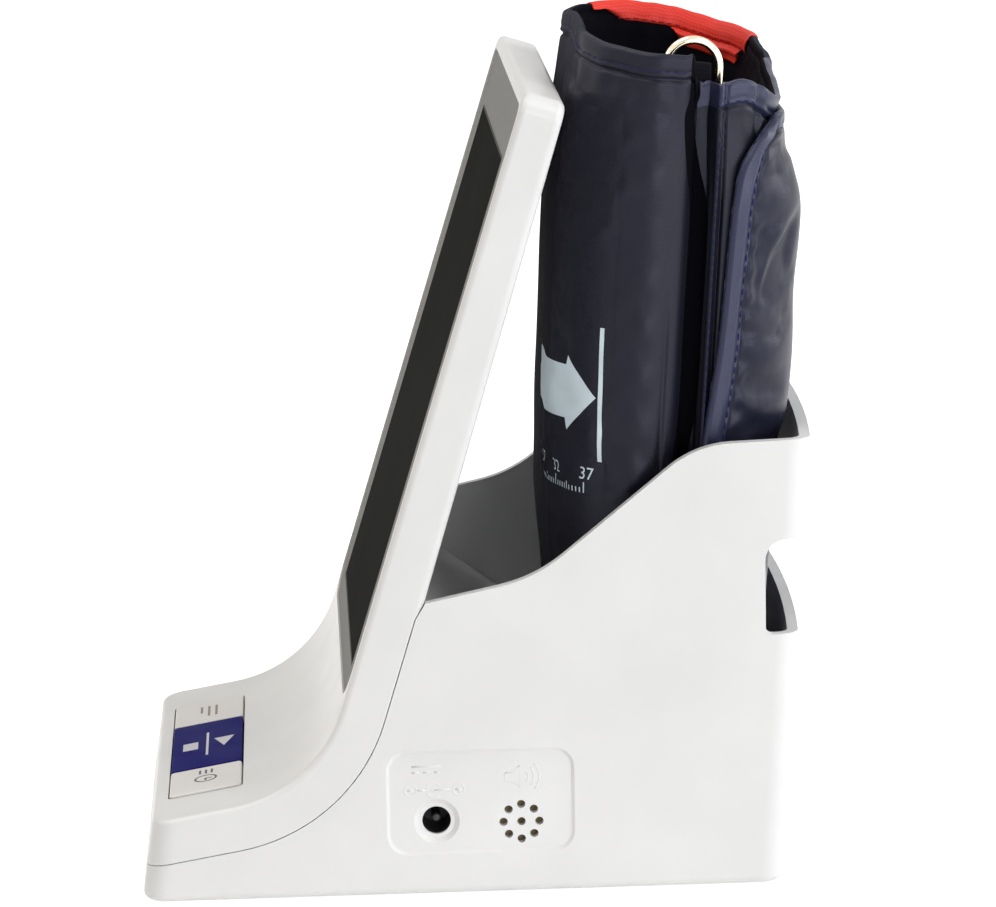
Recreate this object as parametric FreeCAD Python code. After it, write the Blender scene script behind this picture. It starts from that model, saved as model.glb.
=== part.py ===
import FreeCAD, Part
import math
import os

# Upper-arm blood pressure monitor: a leaning display slab, a deck with three keys,
# and a bin behind the display that holds the rolled cuff.
# Millimetres. X runs across the front (+X is the user's right), depths (Y) run back from
# the front edge of the base while the model is made, and Z is up from the table.

# --- driving dimensions of the case ---
CASE_WIDTH = 108.0
CASE_DEPTH = 135.4          # front edge to the rear wall's corners, at the table
REAR_LEAN = 3.8             # degrees back from upright
REAR_BULGE = 2.5            # rise of the rear wall between its corners
FRONT_LEAN = 8.9
PLAN_RADIUS = 5.0
WALL = 2.3
SEAM_GAP = 0.2
SKIRT_LIFT = 0.7            # lower edge of the side walls above the table
SKIRT_ROUND = 1.6

# --- display slab and deck ---
DECK_SLOPE = 9.5
HEAD_LEAN = 17.5
DECK_KNEE_Y = 37.9          # where the deck's and the display's planes would meet
DECK_KNEE_Z = 24.1
KNEE_RADIUS = 30.0
HEAD_LENGTH = 154.8         # knee to the top edge, along the display
HEAD_TOP_DEPTH = 9.3        # slab thickness at the top
HEAD_FOOT_DEPTH = 10.5      # and where the bin's walls meet it
BAND = 9.4                  # depth of the bezel's side band
CHAMFER = 3.4               # height of the small slant between the slab's rear and the seam
HEAD_SKIN = 3.2
TOP_CORNER = 4.0
FRONT_EDGE_ROUND = 1.4
REAR_EDGE_ROUND = 1.8

# --- bin walls ---
BIN_WALL_FOOT_Z = 64.4
BIN_LOW_SLOPE = 11.5
BIN_HIGH_SLOPE = 38.9
BIN_LOW_BEND_Y = 84.9
BIN_LOW_BEND_R = 32.0
BIN_RIM_Z = 96.75
BIN_HIGH_BEND_R = 22.0
RIM_SLOPE = 1.7
WINDOW_LOW_Z = 55.5
WINDOW_HIGH_Z = 76.0
WINDOW_WRAP = 6.3           # how far the window turns into the side walls
WINDOW_UPPER_R = 4.5
WINDOW_LOWER_R = 1.5

# --- bin tray ---
TRAY_SHEET = 2.0
TRAY_FLOOR_Z = 40.0         # floor height at the foot of the ramp
RAMP_FOOT_Y = 85.0
RAMP_SLOPE = 36.7
RAMP_BEND_R = 6.0
TRAY_FIT = 0.15

# --- lens and display stack ---
LENS_RIM = 2.2
LENS_TOP_RIM = 3.0
LENS_THICK = 1.4
LENS_RECESS = 0.4
LENS_FIT = 0.1
LENS_TOP_R = 3.0
LENS_FOOT_R = 8.0
LENS_FOOT_RISE = 1.5        # lens foot above the start of the flat display face
WINDOW_SIDE = 11.5          # case side to the display window
WINDOW_FOOT = 7.4
WINDOW_LENGTH = 113.4
LCD_MARGIN = 2.0
LCD_THICK = 1.7
LIGHT_THICK = 1.0
BOARD_THICK = 1.1
LCD_FRAME_WIDTH = 2.4
SLIP = 0.1                  # clearance between stacked inner pieces
COVER_SHEET = 1.4
COVER_FOOT_Z = 57.6

# --- keys ---
KEY_REAR = 16.4             # knee to the rear edge of the keys, along the deck
KEY_LENGTH = 15.8
MAIN_KEY_WIDTH = 37.0
KEYS_SIDE = 16.4            # case side to the keys
KEY_GAP = 0.35
KEY_PROUD = 0.5
KEY_ROUND = 0.4
KEY_CORNER = 0.9
KEY_TRAVEL = 1.0
KEY_FLANGE = 0.7
KEY_FLANGE_THICK = 0.8
KEY_FLANGE_SLIP = 0.1
MEMBRANE_SHEET = 0.7
DOME_WIDTH = 8.0
DOME_HEIGHT = 1.6
DOME_WALL = 0.8
SWITCH_WIDTH = 5.0
SWITCH_HEIGHT = 0.9
SWITCH_STEM_R = 1.2
SWITCH_STEM = 0.4
MEMBRANE_CORNER = 2.0
KEY_BOARD_GAP = 0.3         # key board to the base screws' posts
KEY_BOARD_FOOT = 34.0
KEY_BOARD_LENGTH = 21.0

# --- right side panel with the power jack and the speaker ---
PANEL_FRONT_Y = 52.5
PANEL_LENGTH = 40.0
PANEL_LOW_Z = 9.5
PANEL_HEIGHT = 22.9
PANEL_CORNER = 4.5
PANEL_DEPTH = 0.6
PANEL_EDGE = 0.7            # width of the slope round the panel's floor
JACK_Y = 63.1
JACK_Z = 16.7
JACK_BORE_R = 3.05
JACK_RING_R = 4.9
JACK_SEAT_R = 3.9           # foot of the sloped ring round the jack
JACK_RING_DEPTH = 0.9
JACK_LENGTH = 13.0
JACK_BODY_WIDTH = 10.0
JACK_BORE_DEPTH = 9.5
JACK_PIN_R = 1.0
SPEAKER_Y = 81.1
SPEAKER_Z = 16.1
SPEAKER_RING_R = 3.81
SPEAKER_RING_HOLES = 8
SPEAKER_HOLE_R = 0.9
SPEAKER_R = 10.0
SPEAKER_DEPTH = 4.2
SPEAKER_RIM = 1.2
SPEAKER_EDGE = 1.5
MAGNET_R = 6.2
CONE_DEPTH = 0.9
GASKET_THICK = 0.8
GASKET_WIDTH = 1.8

# --- base and battery bay ---
BASE_Z = 0.9
BASE_SHEET = 2.4
BASE_FIT = 0.15
FOOT_R = 5.0
FOOT_SINK = 0.8
FOOT_EDGE = 0.5
FRONT_FOOT_SIDE = 20.0      # case side to the feet's middles
FRONT_FOOT_Y = 12.0
REAR_FOOT_SIDE = 12.0
REAR_FOOT_INSET = 19.4
CELL_R = 7.1
CELL_LENGTH = 49.2
CELL_NUB_R = 2.7
CELL_NUB = 1.3
CELL_EDGE = 0.6
CELL_COUNT = 4
CELL_PITCH = 14.8
CELL_Z = 10.3
BAY_WALL = 1.4
BAY_REAR_INSET = 4.2        # rear wall's outside to the bay
CELL_HEADROOM = 0.3
CONTACT_SHEET = 0.4
CONTACT_HALF = 4.0
CONTACT_REACH = 4.5
SPRING_DEPTH = 1.7
SPRING_HALF = 3.0
SPRING_REACH = 5.0
SPRING_TOE = 3.5
SPRING_LIFT = 1.0
SPRING_ROOT_R = 0.7
SPRING_CREST_R = 1.2
DOOR_SHEET = 1.6
DOOR_OVERLAP = 0.3          # door past the bay on each side
DOOR_TONGUE = 1.2
DOOR_TONGUE_SHEET = 0.6
DOOR_FIT = 0.3
DOOR_NOTCH_TOP = 3.0
GRIP_COUNT = 5
GRIP_PITCH = 2.4
GRIP_DEPTH = 0.5
GRIP_ROD_R = 0.7
GRIP_HALF = 12.0
GRIP_INSET = 8.0

# --- fasteners ---
BOSS_R = 3.2
SCREW_R = 1.2
SCREW_HEAD_R = 2.4
SCREW_HEAD = 1.2
SCREW_GRIP = 7.0
PILOT_SLIP = 0.05
BRACKET_SHEET = 1.2
BOSS_SIDE_GAP = 2.0         # side wall to the screw posts
FRONT_BOSS_Y = 11.5
REAR_BOSS_INSET = 9.9
TRAY_POST_Y = 92.0
TRAY_POST_FOOT = 28.5
SMALL_SCREW_R = 0.8
SMALL_HEAD_R = 1.7
SMALL_HEAD = 0.7
SMALL_BOSS_R = 2.2
SMALL_SLOT = 0.35           # depth and half width of the small screws' slot
SMALL_SLOT_HALF = 0.2
COVER_SCREW_LENGTH = 4.0
BOARD_SCREW_GRIP = 2.5
CROSS_REACH = 1.6           # cross recess of the larger screws
CROSS_HALF = 0.3
CROSS_DEPTH = 0.6
HEAD_SINK = 0.1             # screw heads under the base plate's face
TRAY_HEAD_SINK = 0.3
ROOT = 0.6                  # how far a post or rib runs into the wall that carries it

# --- air system ---
AIR_Z = 22.0
PUMP_BAY_GAP = 0.3
MOTOR_R = 12.0
MOTOR_FLAT = 10.0
MOTOR_LENGTH = 26.0
MOTOR_JACK_GAP = 0.7
MOTOR_CAP_R = 5.0
MOTOR_CAP = 2.0
PUMP_R = 13.5
PUMP_LENGTH = 24.0
PUMP_DRUM = 14.4            # length of the pump's round body
LOBE_R = 6.75
LOBE_REACH = 6.5
PUMP_LOBES = 3
NIPPLE_R = 2.0
NIPPLE_LENGTH = 4.0
HOSE_WALL = 0.9
MANIFOLD_REACH = 10.0       # socket's inner end to the manifold
MANIFOLD_R = 3.0
MANIFOLD_ARM = 6.0
SADDLE_WIDTH = 10.0
SADDLE_WALL = 1.4
SADDLE_DROP = 2.0
HEAD_SADDLE_X = 9.0
VALVE_WIDTH = 12.0
VALVE_HEIGHT = 8.4
VALVE_DEPTH = 16.0
SOCKET_R = 5.5
SOCKET_BORE_R = 2.5
SOCKET_BORE_DEPTH = 7.0
SOCKET_LENGTH = 8.0
SOCKET_FLANGE_R = 7.0
SOCKET_FLANGE = 1.2
SENSOR_Y = 94.0
SENSOR_SIZE = 9.0
SENSOR_BAY_GAP = 0.3

# --- main board under the tray ---
MAIN_BOARD_Z = 28.0
MAIN_BOARD_THICK = 1.6
MAIN_BOARD_GAP = 0.8        # board to the screw posts beside it
MAIN_BOARD_LENGTH = 40.0
MAIN_BOARD_REAR_INSET = 9.4
BOARD_SCREW_INSET = 4.0
CHIP_LENGTH = 16.0
CHIP_HEIGHT = 1.6
CHIP_FORWARD = 12.0
DRIVER_LENGTH = 10.0
DRIVER_WIDTH = 8.0
DRIVER_HEIGHT = 2.2
DRIVER_X = 21.0
DRIVER_FORWARD = 10.0
CAN_R = 3.2
CAN_HEIGHT = 5.5
CAN_PITCH = 10.0
CAN_FORWARD = 26.0
RIBBON_SHEET = 0.3
RIBBON_WIDTH = 16.0
RIBBON_LAP = 6.0            # ribbon lying on the board at either end
RIBBON_STEP = 2.0           # board's foot to where the ribbon leaves it
RIBBON_FOOT_R = 4.0
RIBBON_HEAD_R = 2.5
RIBBON_SWEEP = 0.7          # share of the way to the main board at which the ribbon dips
RIBBON_SWEEP_R = 6.0
RIBBON_PUMP_GAP = 1.0
KEY_RIBBON_X = -37.0
KEY_RIBBON_LAP = 4.0
KEY_RIBBON_REACH = 6.0
KEY_RIBBON_END = 3.0
RIB_X = 24.0
RIB_DROP = 2.5

# --- rolled cuff ---
CUFF_HALF = 44.0
CUFF_REAR_GAP = 0.1         # flap to the plane through the rear wall's inner corners
CUFF_ROUNDNESS = 0.374      # corner radius over depth
CUFF_HEIGHT = 141.0
CUFF_HEAD_GAP = 0.8
CUFF_SEAT_GAP = 0.3
CUFF_WALL = 7.0
LINING = 1.0
FLAP_SHEET = 1.8
FLAP_WRAP = 11.2            # flap's free edge in front of the roll's rear face
FLAP_HEIGHT = 126.0
FLAP_CORNER = 16.0
FLAP_FAR_INSET = 10.0
REAR_SWELL = 2.6            # how far the roll swells to the rear above the bin
REAR_PINCH = 0.135          # share of its depth by which it draws in at its upper edge
FRONT_PINCH = 0.052
BLADDER_SHEET = 1.6
BLADDER_INSET = 2.8
BLADDER_REACH = 30.0
BLADDER_FOOT = 14.0
BLADDER_HEIGHT = 90.0
RING_WIRE_R = 0.9
RING_WIDTH = 11.0
RING_BACK = 2.5             # ring's middle behind the roll's
RING_RISE = 1.0             # how far the ring stands above the cuff's edge
RING_INSET = 3.9            # ring's middle inside the lining
RING_SLIP = 0.3
RING_FOOT = 3.0
LOOP_WALL = 1.3
LOOP_FOOT = 50.0
LOOP_HEIGHT = 40.0
PORT_R = 2.2
PORT_FLANGE_R = 6.0
PORT_REACH = 9.0
PORT_X = -16.0
PORT_RISE = 18.0

# --- places that follow from the driving dimensions ---
HALF = CASE_WIDTH / 2
BASE_TOP = BASE_Z + BASE_SHEET
DOOR_TOP = BASE_Z + DOOR_SHEET
WINDOW_HALF = HALF - WINDOW_SIDE
BASE_BOSS_X = HALF - WALL - BOSS_SIDE_GAP - BOSS_R
REAR_BOSS_Y = CASE_DEPTH - REAR_BOSS_INSET
KEYS_HALF = HALF - KEYS_SIDE
SIDE_KEY_WIDTH = KEYS_HALF - MAIN_KEY_WIDTH / 2 - 2 * KEY_GAP
KEY_BOARD_HALF = BASE_BOSS_X - BOSS_R - KEY_BOARD_GAP
MAIN_BOARD_HALF = BASE_BOSS_X - BOSS_R - MAIN_BOARD_GAP
MAIN_BOARD_REAR = CASE_DEPTH - MAIN_BOARD_REAR_INSET
MAIN_BOARD_FRONT = MAIN_BOARD_REAR - MAIN_BOARD_LENGTH
BAY_HALF = CELL_COUNT * CELL_PITCH / 2 + SLIP
BAY_LENGTH = CONTACT_SHEET + CELL_LENGTH + CELL_NUB + SPRING_DEPTH
BAY_FRONT = CASE_DEPTH - BAY_REAR_INSET - BAY_LENGTH
BAY_CEILING_Z = CELL_Z + CELL_R + CELL_HEADROOM
BAY_TOP = BAY_CEILING_Z + BAY_WALL
DOOR_HALF = BAY_HALF + DOOR_OVERLAP
PUMP_Y = BAY_FRONT - BAY_WALL - PUMP_BAY_GAP - SADDLE_WALL - PUMP_R
MOTOR_RIGHT_X = HALF - WALL - JACK_LENGTH - MOTOR_JACK_GAP - MOTOR_CAP
MOTOR_LEFT_X = MOTOR_RIGHT_X - MOTOR_LENGTH
PUMP_LEFT_X = MOTOR_LEFT_X - PUMP_LENGTH
SOCKET_INNER_X = -HALF + SOCKET_LENGTH
MANIFOLD_X = SOCKET_INNER_X + MANIFOLD_REACH
FAR = 200.0                 # reaches past every outline
OVERCUT = 20.0              # how far a cut runs past the wall that it opens
EDGE_TOLERANCE = 0.01       # how near an edge lies to the face whose rim it belongs to
Vec = FreeCAD.Vector


# ---------- small helpers ----------

def tan_deg(angle):
    return math.tan(math.radians(angle))


def cos_deg(angle):
    return math.cos(math.radians(angle))


def sin_deg(angle):
    return math.sin(math.radians(angle))


def box(x0, x1, y0, y1, z0, z1):
    """An upright block between two corners."""
    return Part.makeBox(x1 - x0, y1 - y0, z1 - z0, Vec(x0, y0, z0))


def rod(start, direction, radius, length):
    """A round bar from a point, along a direction."""
    return Part.makeCylinder(radius, length, Vec(*start), Vec(*direction))


def corner_arc(before, corner, after, radius):
    """Tangent points and middle of the arc that rounds one corner of an outline."""
    to_before = (before - corner).normalize()
    to_after = (after - corner).normalize()
    half_angle = to_before.getAngle(to_after) / 2
    reach = radius / math.tan(half_angle)
    middle_line = (to_before + to_after).normalize()
    centre = corner + middle_line * (radius / math.sin(half_angle))
    return corner + to_before * reach, centre - middle_line * radius, corner + to_after * reach


def outline(points, plane="yz"):
    """Closed wire through (a, b) or (a, b, radius) corners, in the YZ or the XY plane."""
    def lift(a, b):
        return Vec(0, a, b) if plane == "yz" else Vec(a, b, 0)
    corners = [lift(p[0], p[1]) for p in points]
    count = len(corners)
    edges = []
    starts, ends, arcs = [], [], []
    for i, point in enumerate(points):
        radius = point[2] if len(point) > 2 else 0
        if radius > 0:
            first, middle, last = corner_arc(corners[i - 1], corners[i], corners[(i + 1) % count], radius)
            starts.append(first)
            ends.append(last)
            arcs.append(Part.Arc(first, middle, last).toShape())
        else:
            starts.append(corners[i])
            ends.append(corners[i])
            arcs.append(None)
    for i in range(count):
        if arcs[i] is not None:
            edges.append(arcs[i])
        following = (i + 1) % count
        if (starts[following] - ends[i]).Length > 1e-6:
            edges.append(Part.LineSegment(ends[i], starts[following]).toShape())
    return Part.Wire(edges)


def side_prism(points, x0=-FAR, x1=FAR):
    """A side outline in (depth, height), drawn out across the case."""
    face = Part.Face(outline(points))
    solid = face.extrude(Vec(x1 - x0, 0, 0))
    solid.translate(Vec(x0, 0, 0))
    return solid


def plan_prism(points, z0, z1):
    """A plan outline in (across, depth), drawn upwards."""
    face = Part.Face(outline(points, "xy"))
    solid = face.extrude(Vec(0, 0, z1 - z0))
    solid.translate(Vec(0, 0, z0))
    return solid


def rounded_block(x0, x1, y0, y1, z0, z1, radius):
    """A block with four rounded upright corners."""
    return plan_prism([(x0, y0, radius), (x1, y0, radius), (x1, y1, radius), (x0, y1, radius)], z0, z1)


def one_solid(shape):
    """The single solid of a boolean result."""
    shape = shape.removeSplitter()
    return shape.Solids[0] if len(shape.Solids) == 1 else shape


def fuse(first, *others):
    return one_solid(first.multiFuse(list(others)))


def round_edges(solid, radius, wanted, above=-FAR):
    """Round every edge whose middle and end points all pass the test and that rises above a height."""
    chosen = []
    for edge in solid.Edges:
        middle = edge.valueAt((edge.FirstParameter + edge.LastParameter) / 2)
        if all(wanted(p) for p in [middle] + [v.Point for v in edge.Vertexes]) and middle.z > above:
            chosen.append(edge)
    return solid.makeFillet(radius, chosen)


# ---------- frames of the leaning parts ----------

HEAD_UP = Vec(0, sin_deg(HEAD_LEAN), cos_deg(HEAD_LEAN))
HEAD_IN = Vec(0, cos_deg(HEAD_LEAN), -sin_deg(HEAD_LEAN))
DECK_BACK = Vec(0, cos_deg(DECK_SLOPE), sin_deg(DECK_SLOPE))
DECK_UP = Vec(0, -sin_deg(DECK_SLOPE), cos_deg(DECK_SLOPE))
KNEE = Vec(0, DECK_KNEE_Y, DECK_KNEE_Z)
CUFF_UP = Vec(0, sin_deg(REAR_LEAN), cos_deg(REAR_LEAN))
FACE_START = KNEE_RADIUS * tan_deg((90 - HEAD_LEAN - DECK_SLOPE) / 2)   # knee to the flat face


def on_head(shape):
    """Turn a piece made with Y into the slab and Z up the display to its place."""
    shape.rotate(Vec(0, 0, 0), Vec(1, 0, 0), -HEAD_LEAN)
    shape.translate(KNEE)
    return shape


def on_deck(shape):
    """Turn a piece made with Y towards the display and Z out of the deck to its place."""
    shape.rotate(Vec(0, 0, 0), Vec(1, 0, 0), DECK_SLOPE)
    shape.translate(KNEE)
    return shape


def head_point(rise, inward):
    """Depth and height of a point up the display and into the slab."""
    p = KNEE + HEAD_UP * rise + HEAD_IN * inward
    return p.y, p.z


def deck_point(forward, outward):
    """Depth and height of a point towards the front edge and out of the deck."""
    p = KNEE - DECK_BACK * forward + DECK_UP * outward
    return p.y, p.z


def knee_inside(deck_depth, head_depth):
    """Where the two planes meet once each is moved into the case."""
    turn = math.radians(90 - HEAD_LEAN - DECK_SLOPE)
    along = (head_depth - deck_depth * math.cos(turn)) / math.sin(turn)
    p = KNEE + DECK_BACK * along - DECK_UP * deck_depth
    return p.y, p.z


def front_wall_y(z, inset=0.0):
    return z * tan_deg(FRONT_LEAN) + inset


def rear_corner_y(z, inset=0.0):
    return CASE_DEPTH + z * tan_deg(REAR_LEAN) - inset


# ---------- the case ----------

def case_core(inset=0.0):
    """The case core with its four upright edges rounded."""
    foot, top = -20.0, FAR
    sides = side_prism([
        (front_wall_y(foot, inset), foot),
        (FAR, foot),
        (FAR, top),
        (front_wall_y(top, inset), top),
    ], -HALF + inset, HALF - inset)
    rear_radius = (HALF ** 2 + REAR_BULGE ** 2) / (2 * REAR_BULGE)
    centre = Vec(0, CASE_DEPTH + REAR_BULGE - rear_radius, 0)
    rear = Part.makeCylinder(rear_radius - inset, 3 * FAR, centre - CUFF_UP * 1.5 * FAR, CUFF_UP)
    core = sides.common(rear)
    upright = [e for e in core.Edges if abs(e.Vertexes[0].Z - e.Vertexes[-1].Z) > FAR]
    return core.makeFillet(PLAN_RADIUS - inset, upright)


def band_profile(start_inset):
    """Corners of the seam between bezel and housing, from the wall's foot to the front."""
    knee_y, knee_z = knee_inside(BAND + start_inset, BAND + start_inset)
    return knee_y, knee_z, KNEE_RADIUS + BAND + start_inset


def head_rear(z):
    """Depth of the slab's rear face at a height."""
    top_y, top_z = head_point(HEAD_LENGTH, HEAD_TOP_DEPTH)
    foot_y, foot_z = head_point((BIN_WALL_FOOT_Z - DECK_KNEE_Z) / cos_deg(HEAD_LEAN), HEAD_FOOT_DEPTH)
    share = (z - foot_z) / (top_z - foot_z)
    return foot_y + share * (top_y - foot_y)


def seam_y(z, gap=0.0):
    """Depth of the seam's upper straight stretch at a height."""
    y, z0 = head_point(0, BAND + gap)
    return y + (z - z0) * tan_deg(HEAD_LEAN)


def front_bezel_blank():
    knee_y, knee_z, knee_r = band_profile(0.0)
    top_front = head_point(HEAD_LENGTH, 0)
    top_rear = head_point(HEAD_LENGTH, HEAD_TOP_DEPTH)
    seam_top_z = BIN_WALL_FOOT_Z - CHAMFER
    front_seam_z = knee_z - (knee_y - 1.5) * tan_deg(DECK_SLOPE)
    profile = [
        (DECK_KNEE_Y, DECK_KNEE_Z, KNEE_RADIUS),
        top_front,
        top_rear,
        (head_rear(BIN_WALL_FOOT_Z), BIN_WALL_FOOT_Z),
        (seam_y(seam_top_z), seam_top_z),
        (knee_y, knee_z, knee_r),
        (-5.0, front_seam_z - 6.5 * tan_deg(DECK_SLOPE)),
        (-5.0, DECK_KNEE_Z - (DECK_KNEE_Y + 5.0) * tan_deg(DECK_SLOPE)),
    ]
    return side_prism(profile).common(case_core())


def display_plane_distance(p):
    """How far a point lies behind the flat display face."""
    return (p - KNEE).dot(HEAD_IN)


def deck_plane_distance(p):
    return (p - KNEE).dot(DECK_UP)


def knee_centre():
    reach = KNEE_RADIUS / math.cos(math.radians(90 - HEAD_LEAN - DECK_SLOPE) / 2)
    middle = (DECK_UP - HEAD_IN).normalize()
    return KNEE + middle * reach


def on_top_skin(p):
    """True on the deck, the knee and the display face."""
    flat = Vec(0, p.y, p.z)
    on_face = abs(display_plane_distance(flat)) < 0.01 and (flat - KNEE).dot(HEAD_UP) > FACE_START - 0.01
    on_deck_face = abs(deck_plane_distance(flat)) < 0.01 and (KNEE - flat).dot(DECK_BACK) > FACE_START - 0.01
    on_knee = abs((flat - knee_centre()).Length - KNEE_RADIUS) < 0.01
    return on_face or on_deck_face or on_knee


def on_slab_rear(p):
    return abs(p.y - head_rear(p.z)) < 0.01 and p.z > BIN_WALL_FOOT_Z - 0.01


def front_bezel():
    """Display frame and key deck in one hollow moulding."""
    blank = front_bezel_blank()
    top_edges = [e for e in blank.Edges
                 if all(abs((Vec(0, v.Y, v.Z) - KNEE).dot(HEAD_UP) - HEAD_LENGTH) < 0.01 for v in e.Vertexes)
                 and all(abs(abs(v.X) - HALF) < 0.01 for v in e.Vertexes) and len(e.Vertexes) == 2
                 and abs(e.Vertexes[0].X - e.Vertexes[1].X) < 0.01]
    blank = blank.makeFillet(TOP_CORNER, top_edges)
    blank = round_edges(blank, FRONT_EDGE_ROUND, on_top_skin)
    blank = round_edges(blank, REAR_EDGE_ROUND, on_slab_rear, above=BIN_WALL_FOOT_Z + 1)
    knee_y, knee_z = knee_inside(WALL, HEAD_SKIN)
    hollow = side_prism([
        (knee_y, knee_z, KNEE_RADIUS + (WALL + HEAD_SKIN) / 2),
        head_point(HEAD_LENGTH - WALL, HEAD_SKIN),
        head_point(HEAD_LENGTH - WALL, 30),
        (FAR, 0),
        (-5.0, -5.0),
        (-5.0, knee_z - (knee_y + 5.0) * tan_deg(DECK_SLOPE)),
    ]).common(case_core(WALL))
    shell = blank.cut(hollow)
    shell = shell.cut(lens_pocket()).cut(lcd_window()).cut(key_opening())
    posts = deck_posts() + slab_posts()
    shell = fuse(shell, *posts)
    for hole in base_pilots(front=True) + slab_pilot_holes() + key_board_pilots():
        shell = shell.cut(hole)
    return one_solid(shell)


# ---------- lens, window and keys: cuts in the bezel ----------

LENS_FOOT = FACE_START + LENS_FOOT_RISE
LENS_TOP = HEAD_LENGTH - LENS_TOP_RIM
WINDOW_START = FACE_START + WINDOW_FOOT


def lens_outline(clearance, depth0, depth1):
    half = HALF - LENS_RIM - clearance
    low, high = LENS_FOOT + clearance, LENS_TOP - clearance
    foot_r, top_r = LENS_FOOT_R - clearance, LENS_TOP_R - clearance
    plate = plan_prism([(-half, low, foot_r), (half, low, foot_r), (half, high, top_r), (-half, high, top_r)],
                       -depth1, -depth0)
    plate.rotate(Vec(0, 0, 0), Vec(1, 0, 0), 90)
    return on_head(plate)


def lens_pocket():
    return lens_outline(0.0, -OVERCUT, LENS_RECESS + LENS_THICK)


def lcd_window():
    opening = box(-WINDOW_HALF, WINDOW_HALF, -OVERCUT, HEAD_SKIN + OVERCUT,
                  WINDOW_START, WINDOW_START + WINDOW_LENGTH)
    return on_head(opening)


KEY_FOOT = KEY_REAR + KEY_LENGTH


def key_opening():
    front, rear = -KEY_FOOT - KEY_GAP, -KEY_REAR + KEY_GAP
    return on_deck(rounded_block(-KEYS_HALF, KEYS_HALF, front, rear, -OVERCUT, OVERCUT, KEY_CORNER))


def key(x0, x1):
    """A key cap with a hidden flange along its front and rear that holds it in the deck."""
    y0, y1 = -KEY_FOOT, -KEY_REAR
    flange_top = -WALL - KEY_FLANGE_SLIP
    cap = rounded_block(x0, x1, y0, y1, flange_top - KEY_FLANGE_THICK, KEY_PROUD, KEY_CORNER)
    cap = round_edges(cap, KEY_ROUND, lambda p: abs(p.z - KEY_PROUD) < EDGE_TOLERANCE)
    inset = KEY_CORNER
    flange = box(x0 + inset, x1 - inset, y0 - KEY_FLANGE, y1 + KEY_FLANGE + KEY_GAP,
                 flange_top - KEY_FLANGE_THICK, flange_top)
    return on_deck(fuse(cap, flange))


KEY_FLANGE_FOOT = -(WALL + KEY_FLANGE_SLIP + KEY_FLANGE_THICK)
KEY_BOARD_TOP = KEY_FLANGE_FOOT - KEY_TRAVEL - SLIP - DOME_HEIGHT - MEMBRANE_SHEET
KEY_CENTRES = [
    ("set_button", -(MAIN_KEY_WIDTH + SIDE_KEY_WIDTH) / 2 - KEY_GAP, SIDE_KEY_WIDTH),
    ("start_stop_button", 0.0, MAIN_KEY_WIDTH),
    ("view_button", (MAIN_KEY_WIDTH + SIDE_KEY_WIDTH) / 2 + KEY_GAP, SIDE_KEY_WIDTH),
]
DOME_Y = -(KEY_REAR + KEY_LENGTH / 2)
MEMBRANE_HALF = KEYS_HALF + 1.0


def key_membrane():
    """Silicone sheet with one hollow dome under each key."""
    y0, y1 = -KEY_BOARD_FOOT, -KEY_BOARD_FOOT + KEY_BOARD_LENGTH
    base_z = KEY_BOARD_TOP
    sheet = rounded_block(-MEMBRANE_HALF, MEMBRANE_HALF, y0, y1, base_z, base_z + MEMBRANE_SHEET,
                          MEMBRANE_CORNER)
    reach = DOME_WIDTH / 2
    for _, x, _ in KEY_CENTRES:
        top = base_z + MEMBRANE_SHEET + DOME_HEIGHT
        dome = rounded_block(x - reach, x + reach, DOME_Y - reach, DOME_Y + reach, base_z, top, 1.5)
        inner = reach - DOME_WALL
        pocket = rounded_block(x - inner, x + inner, DOME_Y - inner, DOME_Y + inner,
                               base_z - 1, top - DOME_WALL, 1.0)
        sheet = sheet.fuse(dome).cut(pocket)
    return on_deck(one_solid(sheet))


def key_board():
    y0, y1 = -KEY_BOARD_FOOT, -KEY_BOARD_FOOT + KEY_BOARD_LENGTH
    board = box(-KEY_BOARD_HALF, KEY_BOARD_HALF, y0, y1, KEY_BOARD_TOP - BOARD_THICK, KEY_BOARD_TOP)
    board = on_deck(board)
    for hole in key_board_pilots():
        board = board.cut(hole)
    return one_solid(board)


def tact_switches():
    """Three switches on the key board, under the domes."""
    reach = SWITCH_WIDTH / 2
    parts = []
    for _, x, _ in KEY_CENTRES:
        body = box(x - reach, x + reach, DOME_Y - reach, DOME_Y + reach,
                   KEY_BOARD_TOP, KEY_BOARD_TOP + SWITCH_HEIGHT)
        stem = rod((x, DOME_Y, KEY_BOARD_TOP), (0, 0, 1), SWITCH_STEM_R,
                   SWITCH_HEIGHT + SWITCH_STEM)
        parts.append(on_deck(fuse(body, stem)))
    return Part.makeCompound(parts)


KEY_POST_X = KEY_BOARD_HALF - 2.0
KEY_POST_Y = -KEY_BOARD_FOOT + KEY_BOARD_LENGTH / 2
KEY_POST_R = 1.8


def key_board_pilots():
    """Holes of the two key board screws, through the board and into its posts."""
    return [on_deck(rod((side * KEY_POST_X, KEY_POST_Y, KEY_BOARD_TOP - BOARD_THICK - 1), (0, 0, 1),
                        SMALL_SCREW_R + PILOT_SLIP, 5.0)) for side in (-1, 1)]


def deck_posts():
    """Posts under the deck: two for the key board and two for the base screws."""
    posts = []
    for side in (-1, 1):
        posts.append(on_deck(rod((side * KEY_POST_X, KEY_POST_Y, KEY_BOARD_TOP), (0, 0, 1),
                                 KEY_POST_R, -KEY_BOARD_TOP - WALL / 2)))
        deck_z = deck_height(FRONT_BOSS_Y) - WALL / 2
        posts.append(rod((side * BASE_BOSS_X, FRONT_BOSS_Y, BASE_TOP), (0, 0, 1), BOSS_R, deck_z - BASE_TOP))
    return posts


def deck_height(y):
    return DECK_KNEE_Z - (DECK_KNEE_Y - y) * tan_deg(DECK_SLOPE)


def base_screw_places(front):
    y = FRONT_BOSS_Y if front else REAR_BOSS_Y
    return [(side * BASE_BOSS_X, y) for side in (-1, 1)]


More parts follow.
